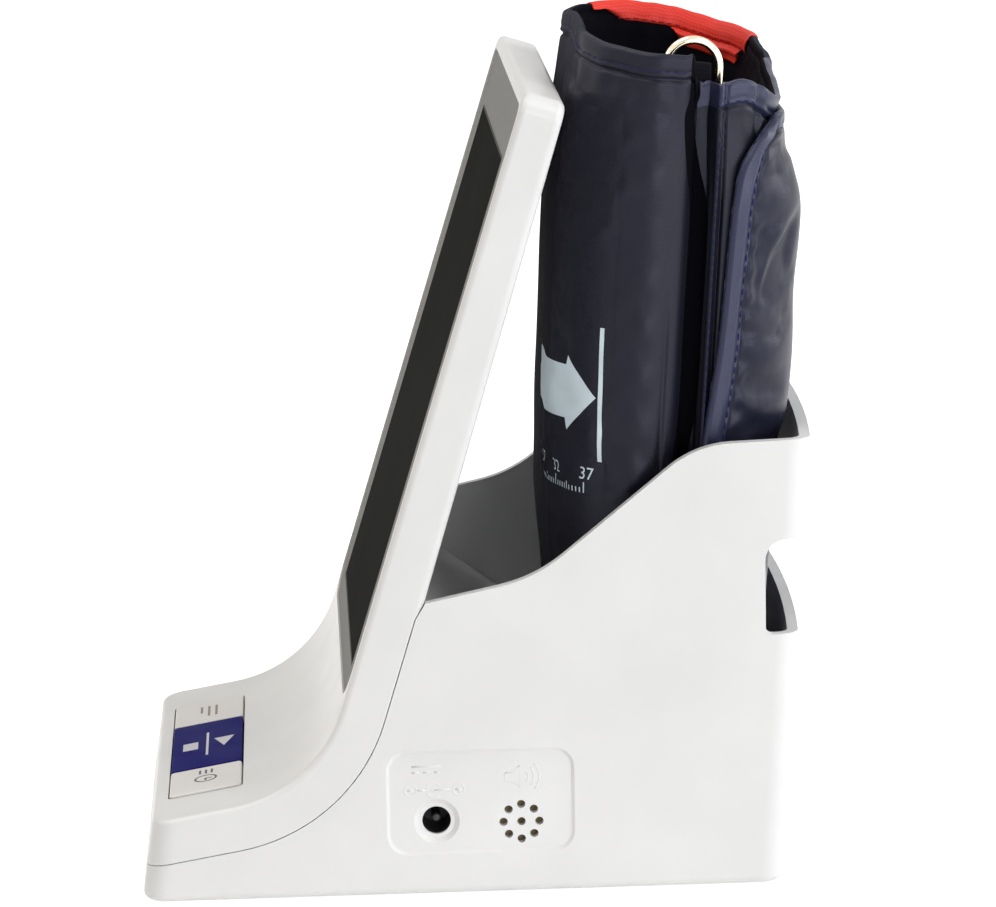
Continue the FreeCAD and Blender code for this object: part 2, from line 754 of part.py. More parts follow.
def base_pilots(front):
    """Holes of the base screws, up into the posts."""
    return [rod((x, y, BASE_TOP - 1), (0, 0, 1), SCREW_R + PILOT_SLIP, SCREW_GRIP + 1.5)
            for x, y in base_screw_places(front)]


# ---------- display stack inside the slab ----------

LCD_HALF = WINDOW_HALF + LCD_MARGIN
LCD_FOOT = WINDOW_START - LCD_MARGIN
LCD_HEAD = WINDOW_START + WINDOW_LENGTH + LCD_MARGIN
LIGHT_FRONT = HEAD_SKIN + LCD_THICK
BOARD_FRONT = LIGHT_FRONT + LIGHT_THICK
BOARD_REAR = BOARD_FRONT + BOARD_THICK
BOARD_HALF = LCD_HALF + LCD_FRAME_WIDTH - 0.4
BOARD_FOOT = FACE_START - 2.4
BOARD_HEAD = HEAD_LENGTH - WALL - 2.7
BOARD_SCREW_X = BOARD_HALF - 3.0
COVER_SCREW_X = HALF - WALL - SMALL_BOSS_R - 0.1
COVER_SCREW_RISES = (40.0, 125.0)


def slab_depth(rise):
    """Slab thickness at a rise up the display."""
    foot = (BIN_WALL_FOOT_Z - DECK_KNEE_Z) / cos_deg(HEAD_LEAN)
    share = (rise - foot) / (HEAD_LENGTH - foot)
    return HEAD_FOOT_DEPTH + share * (HEAD_TOP_DEPTH - HEAD_FOOT_DEPTH)


def board_screw_places():
    rises = (LCD_FOOT - SLIP - LCD_FRAME_WIDTH - SMALL_BOSS_R - 0.3,
             LCD_HEAD + SLIP + LCD_FRAME_WIDTH + SMALL_BOSS_R + 0.3)
    return [(side * BOARD_SCREW_X, rise) for side in (-1, 1) for rise in rises]


def cover_screw_places():
    return [(side * COVER_SCREW_X, rise) for side in (-1, 1) for rise in COVER_SCREW_RISES]


def slab_posts():
    """Posts behind the display face for the display board and the back cover."""
    start = HEAD_SKIN - 0.5
    posts = [on_head(rod((x, start, rise), (0, 1, 0), SMALL_BOSS_R, BOARD_FRONT - start))
             for x, rise in board_screw_places()]
    for x, rise in cover_screw_places():
        reach = slab_depth(rise) - COVER_SHEET - SLIP
        posts.append(on_head(rod((x, start, rise), (0, 1, 0), SMALL_BOSS_R, reach - start)))
    return posts


def slab_pilot_holes():
    radius = SMALL_SCREW_R + PILOT_SLIP
    board_start, cover_start, reach = HEAD_SKIN - 0.2, HEAD_SKIN + 0.8, 12.0
    places = [(x, board_start, rise) for x, rise in board_screw_places()]
    places += [(x, cover_start, rise) for x, rise in cover_screw_places()]
    return [on_head(rod(place, (0, 1, 0), radius, reach)) for place in places]


def display_lens():
    """Clear window with a printed border, set into the display face."""
    return lens_outline(LENS_FIT, LENS_RECESS, LENS_RECESS + LENS_THICK)


def lcd_panel():
    glass = box(-LCD_HALF, LCD_HALF, HEAD_SKIN, LIGHT_FRONT, LCD_FOOT, LCD_HEAD)
    return on_head(glass)


def backlight():
    plate = box(-LCD_HALF, LCD_HALF, LIGHT_FRONT, BOARD_FRONT, LCD_FOOT, LCD_HEAD)
    return on_head(plate)


def lcd_frame():
    """Holder round the display glass and its backlight."""
    inner = LCD_HALF + SLIP
    outer = inner + LCD_FRAME_WIDTH
    ring = box(-outer, outer, HEAD_SKIN, BOARD_FRONT, LCD_FOOT - SLIP - LCD_FRAME_WIDTH,
               LCD_HEAD + SLIP + LCD_FRAME_WIDTH)
    hole = box(-inner, inner, 0, OVERCUT, LCD_FOOT - SLIP, LCD_HEAD + SLIP)
    return on_head(ring.cut(hole))


def display_board():
    board = box(-BOARD_HALF, BOARD_HALF, BOARD_FRONT, BOARD_REAR, BOARD_FOOT, BOARD_HEAD)
    board = on_head(board)
    for hole in slab_pilot_holes():
        board = board.cut(hole)
    return one_solid(board)


def cover_line():
    """Unit vector up the slab's rear face and its inward normal, in (depth, height)."""
    rise = Vec(0, head_rear(FAR) - head_rear(0.0), FAR).normalize()
    return rise, Vec(0, -rise.z, rise.y)


def display_back_cover():
    """Flat cover that closes the slab from behind."""
    top_y, top_z = head_point(HEAD_LENGTH - WALL - TRAY_FIT, HEAD_TOP_DEPTH)
    _, inward = cover_line()
    foot = Vec(0, head_rear(COVER_FOOT_Z), COVER_FOOT_Z)
    top = Vec(0, head_rear(top_z), top_z)
    inner_foot = foot + inward * COVER_SHEET
    inner_top = top + inward * COVER_SHEET
    half = HALF - WALL - TRAY_FIT
    plate = side_prism([(p.y, p.z) for p in (foot, top, inner_top, inner_foot)], -half, half)
    corners = [e for e in plate.Edges if e.Length < COVER_SHEET + 0.01
               and min(v.Z for v in e.Vertexes) > top_z - COVER_SHEET - 0.5]
    plate = plate.makeFillet(TOP_CORNER - WALL, corners)
    for x, rise in cover_screw_places():
        depth = slab_depth(rise)
        plate = plate.cut(on_head(rod((x, depth - SMALL_HEAD - SLIP, rise), (0, 1, 0),
                                      SMALL_HEAD_R + SLIP, OVERCUT)))
        plate = plate.cut(on_head(rod((x, 0, rise), (0, 1, 0), SMALL_SCREW_R + PILOT_SLIP,
                                      OVERCUT)))
    return one_solid(plate)


def small_screw(length):
    """Pan-head screw along +Y, with its head's underside at the origin."""
    shank = rod((0, 0, 0), (0, -1, 0), SMALL_SCREW_R, length)
    head = rod((0, 0, 0), (0, 1, 0), SMALL_HEAD_R, SMALL_HEAD)
    slot = box(-SMALL_HEAD_R, SMALL_HEAD_R, SMALL_HEAD - SMALL_SLOT, SMALL_HEAD + OVERCUT,
               -SMALL_SLOT_HALF, SMALL_SLOT_HALF)
    return fuse(head, shank).cut(slot)


def back_cover_screws():
    screws = []
    for x, rise in cover_screw_places():
        screw = small_screw(COVER_SCREW_LENGTH)
        screw.translate(Vec(x, slab_depth(rise) - SMALL_HEAD - SLIP, rise))
        screws.append(on_head(screw))
    return Part.makeCompound(screws)


def board_screws():
    """Screws of the display board, the key board and the main board."""
    screws = []
    for x, rise in board_screw_places():
        screw = small_screw(BOARD_REAR - HEAD_SKIN - SLIP)
        screw.translate(Vec(x, BOARD_REAR, rise))
        screws.append(on_head(screw))
    for side in (-1, 1):
        screw = small_screw(BOARD_THICK + BOARD_SCREW_GRIP)
        screw.rotate(Vec(0, 0, 0), Vec(1, 0, 0), -90)
        screw.translate(Vec(side * KEY_POST_X, KEY_POST_Y, KEY_BOARD_TOP - BOARD_THICK))
        screws.append(on_deck(screw))
    for x, y in main_board_places():
        screw = small_screw(MAIN_BOARD_THICK + BOARD_SCREW_GRIP)
        screw.rotate(Vec(0, 0, 0), Vec(1, 0, 0), -90)
        screw.translate(Vec(x, y, MAIN_BOARD_Z))
        screws.append(screw)
    return Part.makeCompound(screws)


# ---------- rear housing ----------

BIN_FOOT_RUN = BIN_LOW_BEND_Y - head_rear(BIN_WALL_FOOT_Z)
BIN_LOW_BEND_Z = BIN_WALL_FOOT_Z + BIN_FOOT_RUN * tan_deg(BIN_LOW_SLOPE)
BIN_HIGH_BEND_Y = BIN_LOW_BEND_Y + (BIN_RIM_Z - BIN_LOW_BEND_Z) / tan_deg(BIN_HIGH_SLOPE)


def housing_blank():
    """Outer form of the housing: seam, bin wall's top edge, rear wall and skirt."""
    knee_y, knee_z, knee_r = band_profile(SEAM_GAP)
    seam_top_z = BIN_WALL_FOOT_Z - CHAMFER
    rear_y = CASE_DEPTH + FAR
    return side_prism([
        (seam_y(seam_top_z, SEAM_GAP), seam_top_z),
        (head_rear(BIN_WALL_FOOT_Z) + SEAM_GAP, BIN_WALL_FOOT_Z),
        (BIN_LOW_BEND_Y, BIN_LOW_BEND_Z, BIN_LOW_BEND_R),
        (BIN_HIGH_BEND_Y, BIN_RIM_Z, BIN_HIGH_BEND_R),
        (rear_y, BIN_RIM_Z + (rear_y - BIN_HIGH_BEND_Y) * tan_deg(RIM_SLOPE)),
        (rear_y, SKIRT_LIFT),
        (-5.0, SKIRT_LIFT),
        (-5.0, knee_z - (knee_y + 5.0) * tan_deg(DECK_SLOPE)),
        (knee_y, knee_z, knee_r),
    ]).common(case_core())


def rear_window():
    """Cut across the whole rear wall, turning a little way into both side walls."""
    front = rear_corner_y((WINDOW_LOW_Z + WINDOW_HIGH_Z) / 2) - WINDOW_WRAP
    rear = CASE_DEPTH + FAR
    return side_prism([(front, WINDOW_LOW_Z, WINDOW_LOWER_R), (front, WINDOW_HIGH_Z, WINDOW_UPPER_R),
                       (rear, WINDOW_HIGH_Z), (rear, WINDOW_LOW_Z)])


def panel_outline(x, grow):
    """Rounded outline of the side panel at a place across the wall, grown by an amount."""
    low_y, high_y = PANEL_FRONT_Y - grow, PANEL_FRONT_Y + PANEL_LENGTH + grow
    low_z, high_z = PANEL_LOW_Z - grow, PANEL_LOW_Z + PANEL_HEIGHT + grow
    radius = PANEL_CORNER + grow
    wire = outline([(low_y, low_z, radius), (high_y, low_z, radius),
                    (high_y, high_z, radius), (low_y, high_z, radius)])
    wire.translate(Vec(x, 0, 0))
    return wire


def side_panel_cuts():
    """Shallow panel on the right wall with the jack's ring and hole and the speaker's holes."""
    panel = Part.makeLoft([panel_outline(HALF - PANEL_DEPTH, -PANEL_EDGE),
                           panel_outline(HALF + PANEL_DEPTH, PANEL_EDGE)], True, True)
    ring = Part.makeCone(JACK_SEAT_R, JACK_RING_R, JACK_RING_DEPTH,
                         Vec(HALF - PANEL_DEPTH - JACK_RING_DEPTH, JACK_Y, JACK_Z), Vec(1, 0, 0))
    inside = HALF - WALL - OVERCUT / 2
    jack_hole = rod((inside, JACK_Y, JACK_Z), (1, 0, 0), JACK_BORE_R, OVERCUT)
    holes = [rod((inside, SPEAKER_Y, SPEAKER_Z), (1, 0, 0), SPEAKER_HOLE_R, OVERCUT)]
    for i in range(SPEAKER_RING_HOLES):
        turn = 2 * math.pi * i / SPEAKER_RING_HOLES
        y = SPEAKER_Y + SPEAKER_RING_R * math.cos(turn)
        z = SPEAKER_Z + SPEAKER_RING_R * math.sin(turn)
        holes.append(rod((inside, y, z), (1, 0, 0), SPEAKER_HOLE_R, OVERCUT))
    return [panel, ring, jack_hole] + holes


def wall_brackets():
    """Ribs and posts on the inside of the walls that carry the jack, speaker and tray."""
    inner = HALF - WALL
    root = inner + ROOT
    pieces = []
    for side in (-1, 1):
        y0 = JACK_Y + side * (JACK_BODY_WIDTH / 2 + SLIP)
        y1 = y0 + side * BRACKET_SHEET
        pieces.append(box(inner - JACK_LENGTH + 2, root, min(y0, y1), max(y0, y1),
                          JACK_Z - JACK_BODY_WIDTH / 2, JACK_Z + JACK_BODY_WIDTH / 2))
    ring_r = SPEAKER_R + SLIP
    ring = rod((inner - SPEAKER_DEPTH, SPEAKER_Y, SPEAKER_Z), (1, 0, 0), ring_r + BRACKET_SHEET,
               root - inner + SPEAKER_DEPTH)
    bore_start = inner - SPEAKER_DEPTH - 1
    ring = ring.cut(rod((bore_start, SPEAKER_Y, SPEAKER_Z), (1, 0, 0), ring_r, SPEAKER_DEPTH + 1))
    pieces.append(ring)
    for side in (-1, 1):
        for (x, y), foot in ((p, BASE_TOP) for p in base_screw_places(front=False)):
            if x * side > 0:
                pieces.append(wall_post(side, y, foot))
        pieces.append(wall_post(side, TRAY_POST_Y, TRAY_POST_FOOT))
    return pieces


def tray_underside_z(y):
    """Height of the tray floor's underside."""
    return TRAY_FLOOR_Z - TRAY_SHEET / cos_deg(REAR_LEAN) - (y - RAMP_FOOT_Y) * tan_deg(REAR_LEAN)


def wall_post(side, y, foot):
    """Screw post beside a side wall, joined to it by a rib, up to the tray's underside."""
    top = tray_underside_z(y) - BOSS_R * tan_deg(REAR_LEAN) - SLIP
    post = rod((side * BASE_BOSS_X, y, foot), (0, 0, 1), BOSS_R, top - foot)
    x0, x1 = sorted((side * BASE_BOSS_X, side * (HALF - WALL / 2)))
    rib = box(x0, x1, y - BRACKET_SHEET / 2, y + BRACKET_SHEET / 2, foot, top)
    return post.fuse(rib)


def tray_screw_places():
    return [(side * BASE_BOSS_X, y) for side in (-1, 1) for y in (TRAY_POST_Y, REAR_BOSS_Y)]


def rear_housing():
    """Skirt, side walls and rear wall of the bin in one moulding."""
    blank = housing_blank()
    blank = round_edges(blank, SKIRT_ROUND, lambda p: abs(p.z - SKIRT_LIFT) < EDGE_TOLERANCE)
    shell = blank.cut(case_core(WALL))
    shell = shell.cut(rear_window())
    notch = box(-DOOR_HALF - DOOR_TONGUE - DOOR_FIT, DOOR_HALF + DOOR_TONGUE + DOOR_FIT,
                CASE_DEPTH - 8, CASE_DEPTH + 20, -5, DOOR_NOTCH_TOP)
    shell = shell.cut(notch)
    shell = shell.fuse([b for b in wall_brackets()])
    for cut in side_panel_cuts() + base_pilots(front=False) + tray_pilots():
        shell = shell.cut(cut)
    shell = shell.cut(rod((-HALF - 5, PUMP_Y, AIR_Z), (1, 0, 0), SOCKET_R + SLIP, 15))
    return one_solid(shell)


# ---------- bin tray ----------

def sheet_outline(points, thickness):
    """Closed outline of a bent sheet from the corners of its one face.

    The sheet lies on the right of the path; a bend's radius is its face's own.
    """
    path = [Vec(0, p[0], p[1]) for p in points]
    radii = [p[2] if len(p) > 2 else 0 for p in points]
    normals = []
    for a, b in zip(path, path[1:]):
        step = (b - a).normalize()
        normals.append(Vec(0, step.z, -step.y))
    far_side = []
    for i, p in enumerate(path):
        before, after = normals[max(i - 1, 0)], normals[min(i, len(normals) - 1)]
        shift = (before + after) * (thickness / (1 + before.dot(after)))
        q = p + shift
        radius = 0
        if radii[i] > 0:
            turn = (path[i] - path[i - 1]).cross(path[i + 1] - path[i]).x
            radius = radii[i] + thickness if turn > 0 else radii[i] - thickness
        far_side.append((q.y, q.z, radius))
    near_side = [(p.y, p.z, r) for p, r in zip(path, radii)]
    return near_side + far_side[::-1]


def ramp_top():
    """Where the ramp meets the slab's rear face."""
    slope, lean = tan_deg(RAMP_SLOPE), head_rear(1.0) - head_rear(0.0)
    z = (TRAY_FLOOR_Z + (RAMP_FOOT_Y - head_rear(0.0)) * slope) / (1 + slope * lean)
    return head_rear(z) + TRAY_FIT, z


def cuff_tray():
    """Ramp and floor of the bin in one sheet, with ribs and posts underneath."""
    y0, z0 = ramp_top()
    rear = CASE_DEPTH + FAR
    floor_drop = (rear - RAMP_FOOT_Y) * tan_deg(REAR_LEAN)
    sheet = side_prism(sheet_outline([(y0, z0), (RAMP_FOOT_Y, TRAY_FLOOR_Z, RAMP_BEND_R),
                                      (rear, TRAY_FLOOR_Z - floor_drop)], TRAY_SHEET))
    slab_side = side_prism([(head_rear(0.0) + TRAY_FIT, 0.0), (head_rear(FAR) + TRAY_FIT, FAR),
                            (-FAR, FAR), (-FAR, 0.0)])
    tray = sheet.common(case_core(WALL + TRAY_FIT)).cut(slab_side)
    rib_front = RAMP_FOOT_Y + RAMP_BEND_R
    front_z, rear_z = tray_underside_z(rib_front), tray_underside_z(REAR_BOSS_Y)
    pieces = []
    for x in (-RIB_X, 0.0, RIB_X):
        rib = side_prism([(rib_front, front_z + 0.5), (REAR_BOSS_Y, rear_z + 0.5),
                          (REAR_BOSS_Y, rear_z - RIB_DROP), (rib_front, front_z - RIB_DROP)],
                         x - BRACKET_SHEET / 2, x + BRACKET_SHEET / 2)
        pieces.append(rib)
    board_top = MAIN_BOARD_Z + MAIN_BOARD_THICK
    for x, y in main_board_places():
        post = tray_underside_z(y) + ROOT - board_top
        pieces.append(rod((x, y, board_top), (0, 0, 1), SMALL_BOSS_R, post))
    tray = tray.fuse(pieces)
    for x, y in main_board_places():
        tray = tray.cut(rod((x, y, board_top - 1), (0, 0, 1), SMALL_SCREW_R + PILOT_SLIP, 5))
    for hole in tray_pilots() + tray_head_seats():
        tray = tray.cut(hole)
    return one_solid(tray)


def tray_floor_z(y):
    return TRAY_FLOOR_Z - (y - RAMP_FOOT_Y) * tan_deg(REAR_LEAN)


def tray_pilots():
    return [rod((x, y, tray_floor_z(y) + 1), (0, 0, -1), SCREW_R + PILOT_SLIP, SCREW_GRIP + 2.5)
            for x, y in tray_screw_places()]


def tray_head_seats():
    return [rod((x, y, tray_floor_z(y) - SCREW_HEAD - TRAY_HEAD_SINK), (0, 0, 1),
                SCREW_HEAD_R + SLIP, OVERCUT) for x, y in tray_screw_places()]


def wide_screw(length):
    """Screw along +Z with its head's underside at the origin and the shank below."""
    shank = rod((0, 0, 0), (0, 0, -1), SCREW_R, length)
    head = rod((0, 0, 0), (0, 0, 1), SCREW_HEAD_R, SCREW_HEAD)
    low, high = SCREW_HEAD - CROSS_DEPTH, SCREW_HEAD + OVERCUT
    along = box(-CROSS_REACH, CROSS_REACH, -CROSS_HALF, CROSS_HALF, low, high)
    across = box(-CROSS_HALF, CROSS_HALF, -CROSS_REACH, CROSS_REACH, low, high)
    return fuse(head, shank).cut(along).cut(across)


def tray_screws():
    screws = []
    for x, y in tray_screw_places():
        screw = wide_screw(SCREW_GRIP)
        screw.translate(Vec(x, y, tray_floor_z(y) - SCREW_HEAD - TRAY_HEAD_SINK))
        screws.append(screw)
    return Part.makeCompound(screws)


# ---------- main board and what it carries ----------

def main_board_places():
    return [(side * (MAIN_BOARD_HALF - BOARD_SCREW_INSET), y) for side in (-1, 1)
            for y in (MAIN_BOARD_FRONT + BOARD_SCREW_INSET, MAIN_BOARD_REAR - BOARD_SCREW_INSET)]


def main_board():
    board = box(-MAIN_BOARD_HALF, MAIN_BOARD_HALF, MAIN_BOARD_FRONT, MAIN_BOARD_REAR,
                MAIN_BOARD_Z, MAIN_BOARD_Z + MAIN_BOARD_THICK)
    for x, y in main_board_places():
        board = board.cut(rod((x, y, 0), (0, 0, 1), SMALL_SCREW_R + PILOT_SLIP, FAR))
    return one_solid(board)


def board_chips():
    """The larger parts soldered under the main board."""
    top = MAIN_BOARD_Z
    chip_y, driver_y = MAIN_BOARD_FRONT + CHIP_FORWARD, MAIN_BOARD_FRONT + DRIVER_FORWARD
    chip = box(-CHIP_LENGTH / 2, CHIP_LENGTH / 2, chip_y, chip_y + CHIP_LENGTH, top - CHIP_HEIGHT, top)
    driver_x = DRIVER_X - DRIVER_LENGTH / 2
    driver = box(driver_x, driver_x + DRIVER_LENGTH, driver_y, driver_y + DRIVER_WIDTH,
                 top - DRIVER_HEIGHT, top)
    can_y = MAIN_BOARD_FRONT + CAN_FORWARD
    cans = [rod((DRIVER_X + side * CAN_PITCH / 2, can_y, top), (0, 0, -1), CAN_R, CAN_HEIGHT)
            for side in (-1, 1)]
    return Part.makeCompound([chip, driver] + cans)


def pressure_sensor():
    """Gauge sensor under the board, with its port facing the manifold."""
    reach = SENSOR_SIZE / 2
    body = box(MANIFOLD_X - reach, MANIFOLD_X + reach, SENSOR_Y, SENSOR_Y + SENSOR_SIZE,
               BAY_TOP + SENSOR_BAY_GAP, MAIN_BOARD_Z)
    port = rod((MANIFOLD_X, SENSOR_Y, AIR_Z), (0, -1, 0), NIPPLE_R, NIPPLE_LENGTH)
    return fuse(body, port)


# ---------- pump, valve and air path ----------

def pump_motor():
    """Motor can with two flats and a rear bearing boss."""
    can = rod((MOTOR_LEFT_X, PUMP_Y, AIR_Z), (1, 0, 0), MOTOR_R, MOTOR_LENGTH)
    flats = box(-FAR, FAR, -FAR, FAR, AIR_Z - MOTOR_FLAT, AIR_Z + MOTOR_FLAT)
    boss = rod((MOTOR_RIGHT_X, PUMP_Y, AIR_Z), (1, 0, 0), MOTOR_CAP_R, MOTOR_CAP)
    return fuse(can.common(flats), boss)


def pump_head():
    """Round pump with three diaphragm lobes and an outlet nipple."""
    body = rod((MOTOR_LEFT_X, PUMP_Y, AIR_Z), (-1, 0, 0), PUMP_R, PUMP_DRUM)
    lobes = []
    for i in range(PUMP_LOBES):
        turn = 2 * math.pi * i / PUMP_LOBES
        y = PUMP_Y + LOBE_REACH * math.cos(turn)
        z = AIR_Z + LOBE_REACH * math.sin(turn)
        lobes.append(rod((PUMP_LEFT_X, y, z), (1, 0, 0), LOBE_R, PUMP_LENGTH - PUMP_DRUM + 1))
    nipple = rod((PUMP_LEFT_X + 2, PUMP_Y, AIR_Z), (-1, 0, 0), NIPPLE_R, NIPPLE_LENGTH + 2)
    return fuse(body, nipple, *lobes)


def pump_saddles():
    """Two rubber cradles on the base plate, under the motor and under the pump head."""
    saddles = []
    places = (((MOTOR_LEFT_X + MOTOR_RIGHT_X) / 2, MOTOR_R), (MOTOR_LEFT_X - HEAD_SADDLE_X, PUMP_R))
    rim_z, rim_r = AIR_Z - SADDLE_DROP, SADDLE_WALL
    for x, radius in places:
        y0, y1 = PUMP_Y - radius - SADDLE_WALL, PUMP_Y + radius + SADDLE_WALL
        block = side_prism([(y0, BASE_TOP), (y1, BASE_TOP), (y1, rim_z, rim_r), (y0, rim_z, rim_r)],
                           x - SADDLE_WIDTH / 2, x + SADDLE_WIDTH / 2)
        bore = rod((x - SADDLE_WIDTH, PUMP_Y, AIR_Z), (1, 0, 0), radius + PILOT_SLIP, 2 * SADDLE_WIDTH)
        if radius == MOTOR_R:
            bore = bore.common(box(-FAR, FAR, -FAR, FAR, AIR_Z - MOTOR_FLAT, FAR))
        saddles.append(block.cut(bore))
    return Part.makeCompound(saddles)


def exhaust_valve():
    reach = VALVE_WIDTH / 2
    body = rounded_block(MANIFOLD_X - reach, MANIFOLD_X + reach, PUMP_Y - VALVE_DEPTH / 2,
                         PUMP_Y + VALVE_DEPTH / 2, BASE_TOP, BASE_TOP + VALVE_HEIGHT, 1.5)
    nipple = rod((MANIFOLD_X, PUMP_Y, BASE_TOP + VALVE_HEIGHT), (0, 0, 1), NIPPLE_R, NIPPLE_LENGTH)
    return fuse(body, nipple)


def air_manifold():
    """Four-way joint between pump, cuff socket, valve and sensor."""
    centre = (MANIFOLD_X, PUMP_Y, AIR_Z)
    hub = Part.makeSphere(MANIFOLD_R, Vec(*centre))
    ways = ((1, 0, 0), (-1, 0, 0), (0, 1, 0), (0, 0, -1))
    arms = [rod(centre, way, NIPPLE_R, MANIFOLD_ARM) for way in ways]
    return fuse(hub, *arms)


def hose(start, direction, length):
    bore = NIPPLE_R + PILOT_SLIP
    tube = rod(start, direction, bore + HOSE_WALL, length)
    return tube.cut(rod(start, direction, bore, length))


def air_hoses():
    """Short straight hoses from the manifold to its four neighbours."""
    start = MANIFOLD_R + 0.2
    reach = {
        (1, 0, 0): PUMP_LEFT_X - MANIFOLD_X,
        (-1, 0, 0): MANIFOLD_X - SOCKET_INNER_X,
        (0, 1, 0): SENSOR_Y - PUMP_Y,
        (0, 0, -1): AIR_Z - BASE_TOP - VALVE_HEIGHT,
    }
    hoses = []
    for way, length in reach.items():
        first = Vec(MANIFOLD_X, PUMP_Y, AIR_Z) + Vec(*way) * start
        hoses.append(hose(tuple(first), way, length - start - 0.2))
    return Part.makeCompound(hoses)


def air_socket():
    """Socket for the cuff's hose in the left wall, with a nipple inside."""
    body = rod((-HALF, PUMP_Y, AIR_Z), (1, 0, 0), SOCKET_R, SOCKET_LENGTH)
    flange = rod((-HALF + WALL, PUMP_Y, AIR_Z), (1, 0, 0), SOCKET_FLANGE_R, SOCKET_FLANGE)
    nipple = rod((SOCKET_INNER_X, PUMP_Y, AIR_Z), (1, 0, 0), NIPPLE_R, NIPPLE_LENGTH - 1)
    bore = rod((-HALF - 1, PUMP_Y, AIR_Z), (1, 0, 0), SOCKET_BORE_R, SOCKET_BORE_DEPTH + 1)
    return fuse(body, flange, nipple).cut(bore)


def dc_jack():
    """Power jack behind the right wall, with its centre pin."""
    face = HALF - WALL
    reach = JACK_BODY_WIDTH / 2
    body = box(face - JACK_LENGTH, face, JACK_Y - reach, JACK_Y + reach, JACK_Z - reach, JACK_Z + reach)
    bore = rod((face - JACK_BORE_DEPTH, JACK_Y, JACK_Z), (1, 0, 0), JACK_BORE_R, 20)
    pin = rod((face - JACK_BORE_DEPTH - 1, JACK_Y, JACK_Z), (1, 0, 0), JACK_PIN_R, JACK_BORE_DEPTH)
    pin = round_edges(pin, JACK_PIN_R * 0.6, lambda p: abs(p.x - face + 1) < 0.01)
    return fuse(body.cut(bore), pin)


def speaker():
    face = HALF - WALL - GASKET_THICK
    depth = SPEAKER_DEPTH - GASKET_THICK
    profile = outline([(SPEAKER_R, 0), (SPEAKER_R, -SPEAKER_RIM), (MAGNET_R, -SPEAKER_RIM - 0.4, 0.3),
                       (MAGNET_R, -depth), (0, -depth), (0, -CONE_DEPTH),
                       (SPEAKER_R - SPEAKER_EDGE, -0.3)], "xy")
    disc = Part.Face(profile).revolve(Vec(0, 0, 0), Vec(0, 1, 0), 360)
    disc.rotate(Vec(0, 0, 0), Vec(0, 0, 1), -90)
    disc.translate(Vec(face, SPEAKER_Y, SPEAKER_Z))
    return disc


def speaker_gasket():
    start = (HALF - WALL - GASKET_THICK, SPEAKER_Y, SPEAKER_Z)
    ring = rod(start, (1, 0, 0), SPEAKER_R, GASKET_THICK)
    return ring.cut(rod(start, (1, 0, 0), SPEAKER_R - GASKET_WIDTH, GASKET_THICK))


# ---------- base, battery bay and door ----------

DOOR_FRONT = BAY_FRONT - 0.6


def base_plate():
    """Base with the battery bay's walls and ceiling, door rails and recesses for the feet."""
    plate = case_core(WALL + BASE_FIT).common(box(-FAR, FAR, -FAR, FAR, BASE_Z, BASE_TOP))
    bay = box(-BAY_HALF - BAY_WALL, BAY_HALF + BAY_WALL, BAY_FRONT - BAY_WALL,
              BAY_FRONT + BAY_LENGTH + BAY_WALL, BASE_TOP - 0.5, BAY_TOP)
    plate = plate.fuse(bay)
    plate = plate.cut(box(-BAY_HALF, BAY_HALF, BAY_FRONT, BAY_FRONT + BAY_LENGTH, BASE_Z - 1, BAY_CEILING_Z))
    plate = plate.cut(box(-DOOR_HALF - DOOR_FIT, DOOR_HALF + DOOR_FIT, DOOR_FRONT - DOOR_FIT, FAR,
                          BASE_Z - 1, DOOR_TOP + DOOR_FIT))
    groove = DOOR_HALF + DOOR_TONGUE + DOOR_FIT
    plate = plate.cut(box(-groove, groove, DOOR_FRONT - DOOR_FIT, FAR,
                          DOOR_TOP - DOOR_TONGUE_SHEET - DOOR_FIT, DOOR_TOP + DOOR_FIT))
    for x, y in foot_places():
        plate = plate.cut(rod((x, y, BASE_Z - 1), (0, 0, 1), FOOT_R + SLIP, 1 + FOOT_SINK))
    for x, y in base_screw_places(True) + base_screw_places(False):
        plate = plate.cut(rod((x, y, BASE_Z - 1), (0, 0, 1), SCREW_R + SLIP, OVERCUT))
        plate = plate.cut(rod((x, y, BASE_Z - 1), (0, 0, 1), SCREW_HEAD_R + SLIP,
                              1 + SCREW_HEAD + HEAD_SINK))
    return one_solid(plate)


def foot_places():
    front = [(side * (HALF - FRONT_FOOT_SIDE), FRONT_FOOT_Y) for side in (-1, 1)]
    rear = [(side * (HALF - REAR_FOOT_SIDE), CASE_DEPTH - REAR_FOOT_INSET) for side in (-1, 1)]
    return front + rear


def rubber_feet():
    """Four round feet, turned with a rounded edge, pressed into the base."""
    feet = []
    for x, y in foot_places():
        foot = rod((x, y, 0), (0, 0, 1), FOOT_R, BASE_Z + FOOT_SINK)
        feet.append(foot.makeFillet(FOOT_EDGE, [e for e in foot.Edges
                                           if abs(e.BoundBox.ZMax) < EDGE_TOLERANCE]))
    return Part.makeCompound(feet)


def base_screws():
    screws = []
    for x, y in base_screw_places(True) + base_screw_places(False):
        screw = wide_screw(SCREW_GRIP)
        screw.rotate(Vec(0, 0, 0), Vec(1, 0, 0), 180)
        screw.translate(Vec(x, y, BASE_Z + SCREW_HEAD + HEAD_SINK))
        screws.append(screw)
    return Part.makeCompound(screws)


